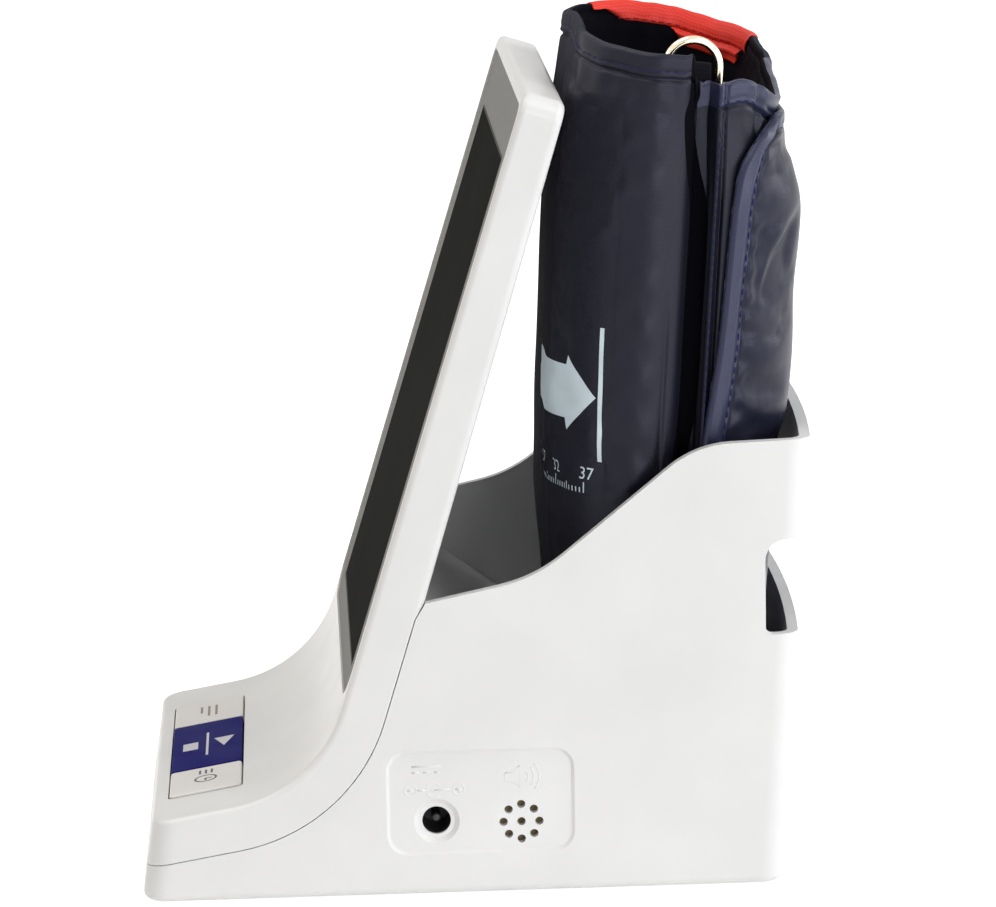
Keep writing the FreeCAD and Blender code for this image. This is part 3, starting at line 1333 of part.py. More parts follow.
def battery_door():
    """Flat door in rails under the bay; it slides out to the rear, with grip ribs for a thumb."""
    z0 = BASE_Z
    plate = box(-DOOR_HALF, DOOR_HALF, DOOR_FRONT, FAR, z0, DOOR_TOP)
    tongue_half = DOOR_HALF + DOOR_TONGUE
    tongue_end = CASE_DEPTH - WALL - 2
    tongues = box(-tongue_half, tongue_half, DOOR_FRONT, tongue_end, DOOR_TOP - DOOR_TONGUE_SHEET, DOOR_TOP)
    door = plate.fuse(tongues).common(case_core())
    for i in range(GRIP_COUNT):
        y = CASE_DEPTH - GRIP_INSET - i * GRIP_PITCH
        groove = rod((-GRIP_HALF, y, z0 + GRIP_DEPTH - GRIP_ROD_R), (1, 0, 0), GRIP_ROD_R, 2 * GRIP_HALF)
        door = door.cut(groove)
    return one_solid(door)


def cell_centres():
    return [(i - (CELL_COUNT - 1) / 2) * CELL_PITCH for i in range(CELL_COUNT)]


def battery_cells():
    """Four cells side by side, turned end for end in pairs."""
    cells = []
    for i, x in enumerate(cell_centres()):
        can = rod((0, 0, 0), (0, 1, 0), CELL_R, CELL_LENGTH)
        can = can.makeFillet(CELL_EDGE, [e for e in can.Edges if len(e.Vertexes) == 1])
        cell = fuse(can, rod((0, -CELL_NUB, 0), (0, 1, 0), CELL_NUB_R, CELL_NUB + 0.5))
        if i % 2 == 0:
            cell.translate(Vec(x, BAY_FRONT + CONTACT_SHEET + CELL_NUB, CELL_Z))
        else:
            cell.rotate(Vec(0, 0, 0), Vec(0, 0, 1), 180)
            cell.translate(Vec(x, BAY_FRONT + SPRING_DEPTH + CELL_LENGTH, CELL_Z))
        cells.append(cell)
    return Part.makeCompound(cells)


def contact_pair(make):
    """One contact per cell, at the front and at the rear of the bay by turns."""
    pieces = []
    for i, x in enumerate(cell_centres()):
        pieces.append(make(x, at_front=(i % 2 == 0)))
    return Part.makeCompound(pieces)


def battery_contacts():
    """Flat plates against the cells' positive ends."""
    def plate(x, at_front):
        y = BAY_FRONT if at_front else BAY_FRONT + BAY_LENGTH - CONTACT_SHEET
        return box(x - CONTACT_HALF, x + CONTACT_HALF, y, y + CONTACT_SHEET,
                   CELL_Z - CONTACT_REACH, CELL_Z + CONTACT_REACH)
    return contact_pair(plate)


def battery_springs():
    """Bent leaf springs against the cells' negative ends."""
    def leaf(x, at_front):
        path = [(0, -SPRING_REACH), (0, SPRING_REACH, SPRING_ROOT_R),
                (SPRING_DEPTH, SPRING_LIFT, SPRING_CREST_R), (SPRING_LIFT, -SPRING_TOE)]
        bent = side_prism(sheet_outline(path, CONTACT_SHEET), x - SPRING_HALF, x + SPRING_HALF)
        bent.translate(Vec(0, BAY_FRONT, CELL_Z))
        if at_front:
            bent = bent.mirror(Vec(0, BAY_FRONT + BAY_LENGTH / 2, 0), Vec(0, 1, 0))
        return bent
    return contact_pair(leaf)


# ---------- ribbons ----------

def key_ribbon():
    """Flat cable from the key board to the display board."""
    edge = KEY_BOARD_FOOT - KEY_BOARD_LENGTH
    start = deck_point(edge + KEY_RIBBON_LAP, KEY_BOARD_TOP - BOARD_THICK)
    leave = deck_point(edge - KEY_RIBBON_REACH, KEY_BOARD_TOP - BOARD_THICK)
    arrive = head_point(BOARD_FOOT - KEY_RIBBON_LAP, BOARD_REAR)
    end = head_point(BOARD_FOOT + KEY_RIBBON_END, BOARD_REAR)
    path = [start, leave + (RIBBON_FOOT_R,), arrive + (KEY_RIBBON_END,), end]
    return side_prism(sheet_outline(path, RIBBON_SHEET), KEY_RIBBON_X, KEY_RIBBON_X + RIBBON_WIDTH)


def display_ribbon():
    """Flat cable from the display board, over the pump, to the main board."""
    top_z = MAIN_BOARD_Z + MAIN_BOARD_THICK + RIBBON_SHEET
    start = head_point(BOARD_FOOT + RIBBON_STEP + RIBBON_LAP, BOARD_REAR + RIBBON_SHEET)
    leave = head_point(BOARD_FOOT + RIBBON_STEP, BOARD_REAR + RIBBON_SHEET)
    dip_y = leave[0] + RIBBON_SWEEP * (MAIN_BOARD_FRONT - leave[0])
    dip_z = AIR_Z + PUMP_R + RIBBON_PUMP_GAP + RIBBON_SHEET
    path = [start, leave + (RIBBON_HEAD_R,), (dip_y, dip_z, RIBBON_SWEEP_R),
            (MAIN_BOARD_FRONT - 1, top_z, RIBBON_FOOT_R), (MAIN_BOARD_FRONT + RIBBON_LAP, top_z)]
    return side_prism(sheet_outline(path, RIBBON_SHEET), -RIBBON_WIDTH / 2, RIBBON_WIDTH / 2)


# ---------- rolled cuff ----------

def cuff_origin():
    """Foot of the cuff's front face: it clears the slab's top as the cuff is lifted."""
    top_y, top_z = head_point(HEAD_LENGTH, HEAD_TOP_DEPTH)
    y = top_y + CUFF_HEAD_GAP - (top_z - TRAY_FLOOR_Z) * tan_deg(REAR_LEAN)
    return Vec(0, y, tray_floor_z(y) + CUFF_SEAT_GAP)


CUFF_FOOT = cuff_origin()
CUFF_ROOM = (rear_corner_y(CUFF_FOOT.z) - CUFF_FOOT.y) * cos_deg(REAR_LEAN) - WALL
CUFF_DEPTH = CUFF_ROOM - FLAP_SHEET - CUFF_REAR_GAP
CUFF_CORNER = CUFF_ROUNDNESS * CUFF_DEPTH
FLAP_EDGE = CUFF_DEPTH - FLAP_WRAP
RING_X = CUFF_HALF - CUFF_WALL - RING_INSET
RING_Y = CUFF_DEPTH / 2 + RING_BACK


def on_cuff(shape):
    """Turn a piece made upright behind the cuff's front face to its place in the bin."""
    shape.rotate(Vec(0, 0, 0), Vec(1, 0, 0), -REAR_LEAN)
    shape.translate(CUFF_FOOT)
    return shape


def cuff_section(rise, inset, front_shift, rear_shift):
    """Rounded oblong section of the roll at a height, moved in by a share of its wall."""
    half = CUFF_HALF - inset
    front, rear = inset + front_shift, CUFF_DEPTH - inset + rear_shift
    radius = CUFF_CORNER - inset
    corners = [(-half, front, radius), (half, front, radius), (half, rear, radius), (-half, rear, radius)]
    wire = outline(corners, "xy")
    wire.translate(Vec(0, 0, rise))
    return wire


def cuff_form(inset):
    """The roll's form at a depth under its surface: straight in the bin, swollen above it."""
    rim = (BIN_RIM_Z - TRAY_FLOOR_Z) / cos_deg(REAR_LEAN)
    stations = [(0.0, 0.0, 0.0), (rim / 2, 0.0, 0.0), (rim, 0.0, 0.0),
                ((rim + CUFF_HEIGHT) / 2, 0.0, REAR_SWELL),
                (CUFF_HEIGHT, FRONT_PINCH * CUFF_DEPTH, -REAR_PINCH * CUFF_DEPTH)]
    wires = [cuff_section(rise, inset, front, rear) for rise, front, rear in stations]
    return Part.makeLoft(wires, True, False)


def cuff_flap():
    """Outer end of the wrap, over the rear of the roll, with one rounded upper corner."""
    skin = cuff_form(-FLAP_SHEET).cut(cuff_form(0.0))
    corners = [(FLAP_EDGE, -FAR), (FAR, -FAR), (FAR, FLAP_HEIGHT), (FLAP_EDGE, FLAP_HEIGHT, FLAP_CORNER)]
    reach = side_prism(corners, FLAP_FAR_INSET - CUFF_HALF, FAR)
    return on_cuff(one_solid(skin.common(reach)))


def cuff_bladder():
    """Air bladder between the layers, round the front half of the roll."""
    sheet = cuff_form(BLADDER_INSET).cut(cuff_form(BLADDER_INSET + BLADDER_SHEET))
    reach = box(-FAR, FAR, -FAR, BLADDER_REACH, BLADDER_FOOT, BLADDER_FOOT + BLADDER_HEIGHT)
    return one_solid(sheet.common(reach))


def cuff_cover():
    """Fabric layers of the roll, open through the middle, with a pocket for the bladder."""
    roll = cuff_form(0.0).cut(cuff_form(CUFF_WALL - LINING))
    return on_cuff(one_solid(roll.cut(cuff_bladder())))


def cuff_lining():
    return on_cuff(one_solid(cuff_form(CUFF_WALL - LINING).cut(cuff_form(CUFF_WALL))))


def cuff_ring():
    """Long wire ring that the cuff's end is passed through, standing a little above the roll."""
    bend = RING_WIDTH / 2
    low, high = RING_FOOT + RING_WIRE_R + bend, CUFF_HEIGHT + RING_RISE - RING_WIRE_R - bend
    y0, y1 = RING_Y - bend, RING_Y + bend
    path = Part.Wire([
        Part.LineSegment(Vec(RING_X, y0, low), Vec(RING_X, y0, high)).toShape(),
        Part.Arc(Vec(RING_X, y0, high), Vec(RING_X, RING_Y, high + bend), Vec(RING_X, y1, high)).toShape(),
        Part.LineSegment(Vec(RING_X, y1, high), Vec(RING_X, y1, low)).toShape(),
        Part.Arc(Vec(RING_X, y1, low), Vec(RING_X, RING_Y, low - bend), Vec(RING_X, y0, low)).toShape(),
    ])
    section = Part.Wire(Part.makeCircle(RING_WIRE_R, Vec(RING_X, y0, low), Vec(0, 0, 1)))
    return on_cuff(path.makePipeShell([section], True, False))


def cuff_ring_loop():
    """Webbing sleeve that holds the ring's front bar to the lining."""
    y = RING_Y - RING_WIDTH / 2
    bore_r = RING_WIRE_R + RING_SLIP
    reach = bore_r + LOOP_WALL
    top = LOOP_FOOT + LOOP_HEIGHT
    wall_x = CUFF_HALF - CUFF_WALL - SLIP
    sleeve = rounded_block(RING_X - reach, wall_x, y - reach, y + reach, LOOP_FOOT, top, LOOP_WALL)
    bore = rod((RING_X, y, LOOP_FOOT - 1), (0, 0, 1), bore_r, LOOP_HEIGHT + 2)
    return on_cuff(sleeve.cut(bore))


def cuff_air_port():
    """Hose port of the bladder: a disc on the lining and a short barbed nipple."""
    profile = outline([(0, 0), (PORT_FLANGE_R, 0), (PORT_FLANGE_R, 1.0), (PORT_R + 0.6, 1.4, 0.3),
                       (PORT_R, PORT_REACH - 2.5), (PORT_R + 0.5, PORT_REACH - 2.5),
                       (PORT_R - 0.4, PORT_REACH), (0, PORT_REACH)], "xy")
    port = Part.Face(profile).revolve(Vec(0, 0, 0), Vec(0, 1, 0), 360)
    port = port.cut(rod((0, 2.0, 0), (0, 1, 0), PORT_R * 0.5, PORT_REACH))
    port.translate(Vec(PORT_X, CUFF_WALL, PORT_RISE))
    return on_cuff(port)


# ---------- all the pieces ----------

def side_key(centre, width):
    return key(centre - width / 2, centre + width / 2)


def build():
    """Every sub-part by name."""
    pieces = {
        "front_bezel": front_bezel(),
        "rear_housing": rear_housing(),
        "cuff_tray": cuff_tray(),
        "display_back_cover": display_back_cover(),
        "base_plate": base_plate(),
        "battery_door": battery_door(),
        "rubber_feet": rubber_feet(),
        "base_screws": base_screws(),
        "back_cover_screws": back_cover_screws(),
        "board_screws": board_screws(),
        "tray_screws": tray_screws(),
        "display_lens": display_lens(),
        "lcd_panel": lcd_panel(),
        "lcd_frame": lcd_frame(),
        "backlight": backlight(),
        "display_board": display_board(),
        "display_ribbon": display_ribbon(),
        "key_membrane": key_membrane(),
        "key_board": key_board(),
        "tact_switches": tact_switches(),
        "key_ribbon": key_ribbon(),
        "main_board": main_board(),
        "board_chips": board_chips(),
        "pressure_sensor": pressure_sensor(),
        "pump_motor": pump_motor(),
        "pump_head": pump_head(),
        "pump_saddles": pump_saddles(),
        "exhaust_valve": exhaust_valve(),
        "air_manifold": air_manifold(),
        "inner_air_hoses": air_hoses(),
        "air_socket": air_socket(),
        "dc_jack": dc_jack(),
        "speaker": speaker(),
        "speaker_gasket": speaker_gasket(),
        "battery_cells": battery_cells(),
        "battery_contacts": battery_contacts(),
        "battery_springs": battery_springs(),
        "cuff_cover": cuff_cover(),
        "cuff_flap": cuff_flap(),
        "cuff_lining": cuff_lining(),
        "cuff_bladder": on_cuff(cuff_bladder()),
        "cuff_ring": cuff_ring(),
        "cuff_ring_loop": cuff_ring_loop(),
        "cuff_air_port": cuff_air_port(),
    }
    for name, centre, width in KEY_CENTRES:
        pieces[name] = side_key(centre, width)
    return pieces


def main():
    os.makedirs("parts", exist_ok=True)
    pieces = build()
    whole = Part.makeCompound([pieces["rear_housing"], pieces["front_bezel"], pieces["cuff_flap"]])
    extent = whole.optimalBoundingBox(False, False)
    centring = Vec(0, -(extent.YMin + extent.YMax) / 2, 0)
    for name, shape in pieces.items():
        shape.translate(centring)
        shape.exportStep("parts/" + name + ".step")


main()
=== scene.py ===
"""Looks of an upper-arm blood pressure monitor: moulded case, keys, display and rolled fabric cuff."""
import math
import bpy
import bmesh
from mathutils import Matrix, Vector, noise


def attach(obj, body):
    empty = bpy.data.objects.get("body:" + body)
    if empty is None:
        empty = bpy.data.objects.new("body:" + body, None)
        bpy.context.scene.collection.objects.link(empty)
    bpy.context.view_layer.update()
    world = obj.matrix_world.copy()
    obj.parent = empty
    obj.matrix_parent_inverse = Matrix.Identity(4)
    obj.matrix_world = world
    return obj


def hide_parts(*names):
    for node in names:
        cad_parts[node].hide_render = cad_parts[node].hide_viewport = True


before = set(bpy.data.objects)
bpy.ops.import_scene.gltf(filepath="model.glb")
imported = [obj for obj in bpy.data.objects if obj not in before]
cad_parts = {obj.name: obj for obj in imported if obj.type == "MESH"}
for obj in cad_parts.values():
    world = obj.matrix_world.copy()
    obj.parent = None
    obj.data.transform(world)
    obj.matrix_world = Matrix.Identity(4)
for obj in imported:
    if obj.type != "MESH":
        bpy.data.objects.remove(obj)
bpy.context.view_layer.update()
MM = 0.001

# --- places that part.py also uses, in millimetres from the front edge of the base ---
CENTRING = -73.023            # depth in the CAD source to depth in the shared frame
KNEE = Vector((0, 37.9, 24.1))
DECK_SLOPE = math.radians(9.5)
HEAD_LEAN = math.radians(17.5)
REAR_LEAN = math.radians(3.8)
KNEE_RADIUS = 30.0
FACE_START = KNEE_RADIUS * math.tan((math.pi / 2 - HEAD_LEAN - DECK_SLOPE) / 2)
HEAD_UP = Vector((0, math.sin(HEAD_LEAN), math.cos(HEAD_LEAN)))
DECK_BACK = Vector((0, math.cos(DECK_SLOPE), math.sin(DECK_SLOPE)))
DECK_UP = Vector((0, -math.sin(DECK_SLOPE), math.cos(DECK_SLOPE)))
CUFF_UP = Vector((0, math.sin(REAR_LEAN), math.cos(REAR_LEAN)))
CUFF_BACK = Vector((0, math.cos(REAR_LEAN), -math.sin(REAR_LEAN)))
CUFF_ORIGIN = Vector((0, 85.555, 40.263))


def place(x, y, z):
    """Source millimetres to the shared frame's metres."""
    return Vector((x * MM, (y + CENTRING) * MM, z * MM))


def on_deck(x, forward, out):
    p = KNEE - DECK_BACK * forward + DECK_UP * out
    return place(x, p.y, p.z)


def on_cuff(x, back, up):
    p = CUFF_ORIGIN + CUFF_BACK * back + CUFF_UP * up
    return place(x, p.y, p.z)


# --- node trees ---

class Nodes:
    """A small builder for a node tree."""

    def __init__(self, tree):
        self.tree = tree

    def node(self, kind, **sockets):
        made = self.tree.nodes.new("ShaderNode" + kind)
        for key, value in sockets.items():
            made.inputs[key.replace("_", " ")].default_value = value
        return made

    def link(self, a, b):
        self.tree.links.new(a, b)

    def math(self, operation, a, b=None, clamp=False):
        made = self.node("Math")
        made.operation = operation
        made.use_clamp = clamp
        for i, value in enumerate((a, b)):
            if isinstance(value, (int, float)):
                made.inputs[i].default_value = value
            elif value is not None:
                self.link(value, made.inputs[i])
        return made.outputs[0]

    def join(self, kind, *sources):
        """A node whose inputs are linked in order."""
        made = self.node(kind)
        for socket, source in zip(made.inputs, sources):
            self.link(source, socket)
        return made

    def seen_or_reflected(self):
        """Value that is 1 where the camera sees the background, straight or in metal or glass."""
        path = self.node("LightPath").outputs
        either = self.math("MAXIMUM", path["Is Camera Ray"], path["Is Glossy Ray"])
        return self.math("MAXIMUM", either, path["Is Transmission Ray"])


class Shader(Nodes):
    """One procedural material."""

    def __init__(self, name):
        self.material = bpy.data.materials.new(name)
        self.material.use_nodes = True
        super().__init__(self.material.node_tree)
        self.bsdf = self.tree.nodes["Principled BSDF"]
        self.coords = self.node("TexCoord").outputs

    def set(self, **sockets):
        for key, value in sockets.items():
            self.bsdf.inputs[key.replace("_", " ")].default_value = value

    def noise(self, scale, detail=2.0, stretch=None):
        made = self.node("TexNoise", Scale=scale, Detail=detail)
        source = self.coords["Object"]
        if stretch:
            mapping = self.node("Mapping", Scale=stretch)
            self.link(source, mapping.inputs["Vector"])
            source = mapping.outputs["Vector"]
        self.link(source, made.inputs["Vector"])
        return made.outputs["Fac"]

    def ramp(self, fac, stops):
        made = self.node("ValToRGB")
        for element, (position, colour) in zip(made.color_ramp.elements, stops):
            element.position = position
            element.color = (*colour, 1)
        self.link(fac, made.inputs["Fac"])
        return made.outputs["Color"]

    def tones(self, fac, colour, low, high):
        """A colour that varies with fac, from stop to stop given as (position, factor)."""
        return self.ramp(fac, [(position, tint(colour, factor)) for position, factor in (low, high)])

    def vary(self, fac, colour, low, high):
        self.link(self.tones(fac, colour, low, high), self.bsdf.inputs["Base Color"])

    def roughness(self, fac, low, high):
        stops = [(position, (value,) * 3) for position, value in (low, high)]
        self.link(self.ramp(fac, stops), self.bsdf.inputs["Roughness"])

    def bump(self, height, distance, strength):
        made = self.node("Bump", Strength=strength, Distance=distance)
        self.link(height, made.inputs["Height"])
        normal = self.bsdf.inputs["Normal"]
        if normal.is_linked:
            self.link(normal.links[0].from_socket, made.inputs["Normal"])
        self.link(made.outputs["Normal"], normal)


# --- camera, floor and light ---
FOCAL_PIXELS = 4560.0
PHOTO_WIDTH = 996.0
SENSOR = 36.0
CAM_ELEVATION = math.radians(11.901)
CAM_SWING = math.radians(2.524)       # towards the front from straight sideways
CAM_ROLL = math.radians(-1.1075)
CAM_PLACE = Vector((0.98444, -0.03644, 0.29250))
WHITE = (1, 1, 1, 1)
WORLD_COLOUR = (0.90, 0.94, 1.0)
WORLD_STRENGTH = 0.10
FLOOR_SIZE = 6.0
FLOOR_DROP = 0.0002
FLOOR_GREY = 0.84
FLOOR_GLOW = 0.88             # added where the camera sees the floor beside the object
FAR_GLOW = 1.0                # and far from it
GLOW_NEAR, GLOW_FAR = 0.12, 0.6
# name, place, target, size, power, colour
LAMPS = [
    ("key", (0.70, 0.90, 1.30), (0, 0, 0.08), (0.9, 0.9), 7, (0.99, 0.99, 1.0)),
    ("side", (1.50, 0.50, 0.24), (0, 0, 0.09), (0.7, 0.4), 6.3, (0.98, 0.98, 1.0)),
    ("rear_side", (1.00, 1.25, 0.34), (0, 0, 0.09), (0.7, 0.5), 6.2, (0.98, 0.98, 1.0)),
    ("front", (-0.1, -1.6, 0.9), (0, 0, 0.08), (1.0, 0.8), 4.5, (1.0, 0.90, 0.80)),
    ("top", (0.1, -0.60, 1.6), (0, 0, 0), (0.9, 0.9), 11.5, (1.0, 0.96, 0.90)),
    ("rear", (-0.3, 1.6, 0.6), (0, 0, 0.08), (0.8, 0.8), 8, (0.97, 0.98, 1.0)),
]


def make_camera():
    flat = math.cos(CAM_ELEVATION)
    back = Vector((math.cos(CAM_SWING) * flat, -math.sin(CAM_SWING) * flat, math.sin(CAM_ELEVATION)))
    level = Vector((math.sin(CAM_SWING), math.cos(CAM_SWING), 0))
    up = back.cross(level)
    right = level * math.cos(CAM_ROLL) + up * math.sin(CAM_ROLL)
    top = up * math.cos(CAM_ROLL) - level * math.sin(CAM_ROLL)
    data = bpy.data.cameras.new("camera")
    data.sensor_width = SENSOR
    data.lens = FOCAL_PIXELS * SENSOR / PHOTO_WIDTH
    data.clip_start = 0.05
    data.clip_end = 20
    cam = bpy.data.objects.new("camera", data)
    turn = Matrix((right, top, back)).transposed()
    cam.matrix_world = Matrix.Translation(CAM_PLACE) @ turn.to_4x4()
    bpy.context.scene.collection.objects.link(cam)
    bpy.context.scene.camera = cam


def area_light(name, where, target, size, power, colour):
    data = bpy.data.lights.new(name, "AREA")
    data.shape = "RECTANGLE"
    data.size, data.size_y = size
    data.energy = power
    data.color = colour
    lamp = bpy.data.objects.new(name, data)
    lamp.location = where
    lamp.rotation_euler = (Vector(target) - Vector(where)).to_track_quat("-Z", "Y").to_euler()
    bpy.context.scene.collection.objects.link(lamp)


def make_world():
    world = bpy.data.worlds.new("studio")
    bpy.context.scene.world = world
    world.use_nodes = True
    n = Nodes(world.node_tree)
    n.tree.nodes.clear()
    plain = n.node("Background", Color=(*WORLD_COLOUR, 1), Strength=WORLD_STRENGTH).outputs[0]
    white = n.node("Background", Color=WHITE, Strength=1.0).outputs[0]
    n.join("OutputWorld", n.join("MixShader", n.seen_or_reflected(), plain, white).outputs[0])


def make_floor():
    mesh = bpy.data.meshes.new("floor")
    s = FLOOR_SIZE
    mesh.from_pydata([(-s, -s, 0), (s, -s, 0), (s, s, 0), (-s, s, 0)], [], [(0, 1, 2, 3)])
    floor = bpy.data.objects.new("floor", mesh)
    floor.location.z = -FLOOR_DROP
    bpy.context.scene.collection.objects.link(floor)
    material = bpy.data.materials.new("floor")
    material.use_nodes = True
    n = Nodes(material.node_tree)
    n.tree.nodes.clear()
    diffuse = n.node("BsdfDiffuse", Color=(FLOOR_GREY, FLOOR_GREY, FLOOR_GREY, 1)).outputs[0]
    away = n.node("VectorMath")
    away.operation = "LENGTH"
    n.link(n.node("TexCoord").outputs["Object"], away.inputs[0])
    fade = n.node("MapRange", From_Min=GLOW_NEAR, From_Max=GLOW_FAR, To_Min=FLOOR_GLOW, To_Max=FAR_GLOW)
    n.link(away.outputs["Value"], fade.inputs["Value"])
    glow = n.node("Emission", Color=WHITE)
    n.link(fade.outputs["Result"], glow.inputs["Strength"])
    lit = n.join("AddShader", diffuse, glow.outputs[0]).outputs[0]
    n.join("OutputMaterial", n.join("MixShader", n.seen_or_reflected(), diffuse, lit).outputs[0])
    mesh.materials.append(material)


# --- kinds of material ---

def tint(colour, factor):
    return tuple(min(1.0, c * factor) for c in colour)


def plastic(name, colour, roughness, grain=2600.0, relief=0.00002, spread=0.03, coat=0.0, gloss=0.5):
    """Moulded plastic: fine spark-eroded grain, faint mottling and uneven gloss."""
    m = Shader(name)
    m.vary(m.noise(38.0, 3.0), colour, (0.3, 1 - spread), (0.7, 1 + spread))
    m.roughness(m.noise(90.0, 4.0), (0.3, max(roughness - 0.05, 0.02)), (0.7, roughness + 0.06))
    m.bump(m.noise(grain), relief, 0.35)
    m.set(Coat_Weight=coat, Coat_Roughness=0.12, IOR=1.48, Specular_IOR_Level=gloss)
    return m.material


def metal(name, colour, roughness, stretch=(1, 1, 14), grain=900.0):
    """Bare or plated metal with drawn streaks in its gloss and relief."""
    m = Shader(name)
    streak = m.noise(grain, 3.0, stretch)
    m.vary(streak, colour, (0.25, 0.86), (0.75, 1.08))
    m.roughness(streak, (0.2, roughness * 0.7), (0.8, roughness * 1.3))
    m.bump(streak, 0.00001, 0.25)
    m.set(Metallic=1.0)
    return m.material


def rubber(name, colour, roughness=0.62):
    """Moulded rubber: dull, blotched and slightly rough."""
    m = Shader(name)
    m.vary(m.noise(220.0, 5.0), colour, (0.3, 0.82), (0.7, 1.2))
    m.roughness(m.noise(60.0), (0.3, roughness - 0.08), (0.7, roughness + 0.08))
    m.bump(m.noise(1500.0, 4.0), 0.00003, 0.4)
    return m.material


YARN_TINT = (0.80, 0.80, 1.0)


def woven(name, colour, pitch, roughness, relief=0.00005, shine=0.25, matt_rim=False):
    """Close-woven cloth: crossed yarns from the piece's own UV map, which is in metres."""
    m = Shader(name)
    yarns = []
    for direction in ("X", "Y"):
        wave = m.node("TexWave", Scale=math.tau / 20 / pitch, Distortion=0.5, Detail=1.0)
        wave.wave_type = "BANDS"
        wave.bands_direction = direction
        m.link(m.coords["UV"], wave.inputs["Vector"])
        yarns.append(wave.outputs["Fac"])
    weave = m.math("ADD", m.math("MULTIPLY", yarns[0], 0.4), m.math("MULTIPLY", yarns[1], 0.6))
    patches = m.noise(34.0, 4.0)
    tone = m.math("ADD", m.math("MULTIPLY", weave, 0.35), m.math("MULTIPLY", patches, 0.65))
    m.vary(tone, colour, (0.25, 0.7), (0.75, 1.35))
    m.roughness(patches, (0.3, roughness - 0.05), (0.7, roughness + 0.07))
    m.bump(weave, relief, 0.3)
    m.bump(m.noise(260.0, 3.0), 0.00010, 0.3)
    m.set(Specular_Tint=(*YARN_TINT, 1), Specular_IOR_Level=shine)
    if matt_rim:                      # fibres break up the mirror-like gloss at a grazing look
        rougher = m.node("MapRange", From_Min=0.60, From_Max=0.88, To_Min=0.0, To_Max=0.6)
        m.link(m.node("LayerWeight", Blend=0.5).outputs["Facing"], rougher.inputs["Value"])
        socket = m.bsdf.inputs["Roughness"]
        m.link(m.math("ADD", socket.links[0].from_socket, rougher.outputs["Result"], clamp=True), socket)
    return m.material


# the display lens: dark glass in a printed silver-grey border
WINDOW_HALF = 42.0
WINDOW_LOW = FACE_START + 7.8
WINDOW_HIGH = WINDOW_LOW + 112.6
WINDOW_LINE = 0.7             # width of the dark line round the glass
PRINT_EDGE = 0.00012          # softness of a printed edge, in metres
BORDER_GREY = (0.36, 0.36, 0.355)
GLASS_DARK = (0.010, 0.010, 0.0075)
SEGMENT_GREY = (0.015, 0.015, 0.012)


def lens_material():
    m = Shader("lens")
    split = m.node("SeparateXYZ")
    m.link(m.coords["Object"], split.inputs[0])
    rise = m.node("VectorMath")
    rise.operation = "DOT_PRODUCT"
    rise.inputs[1].default_value = HEAD_UP
    m.link(m.coords["Object"], rise.inputs[0])
    base = place(0, KNEE.y, KNEE.z).dot(HEAD_UP)
    up = m.math("SUBTRACT", rise.outputs["Value"], base)
    across = m.math("ABSOLUTE", split.outputs["X"])

    def inside(low, high, value):
        above = m.math("DIVIDE", m.math("SUBTRACT", value, low), PRINT_EDGE, clamp=True)
        below = m.math("DIVIDE", m.math("SUBTRACT", high, value), PRINT_EDGE, clamp=True)
        return m.math("MULTIPLY", above, below)

    def pane(wider):
        """1 inside the window's outline, widened by some millimetres."""
        tall = inside((WINDOW_LOW - wider) * MM, (WINDOW_HIGH + wider) * MM, up)
        return m.math("MULTIPLY", tall, inside(-1.0, (WINDOW_HALF + wider) * MM, across))

    def cover(factor, below, above):
        """Colour above laid over colour below."""
        mix = m.node("Mix")
        mix.data_type = "RGBA"
        m.link(factor, mix.inputs["Factor"])
        m.link(below, mix.inputs["A"])
        if isinstance(above, tuple):
            mix.inputs["B"].default_value = (*above, 1)
        else:
            m.link(above, mix.inputs["B"])
        return mix.outputs["Result"]

    border = m.tones(m.noise(1800.0), BORDER_GREY, (0.3, 0.93), (0.7, 1.07))
    glass = m.ramp(m.noise(24.0), [(0.3, GLASS_DARK), (0.7, SEGMENT_GREY)])
    lined = cover(pane(WINDOW_LINE), border, tint(BORDER_GREY, 0.35))
    m.link(cover(pane(0.0), lined, glass), m.bsdf.inputs["Base Color"])
    m.roughness(m.noise(70.0, 3.0), (0.3, 0.07), (0.7, 0.12))
    m.set(IOR=1.5, Specular_IOR_Level=0.0, Coat_Weight=0.02, Coat_Roughness=0.08)
    return m.material


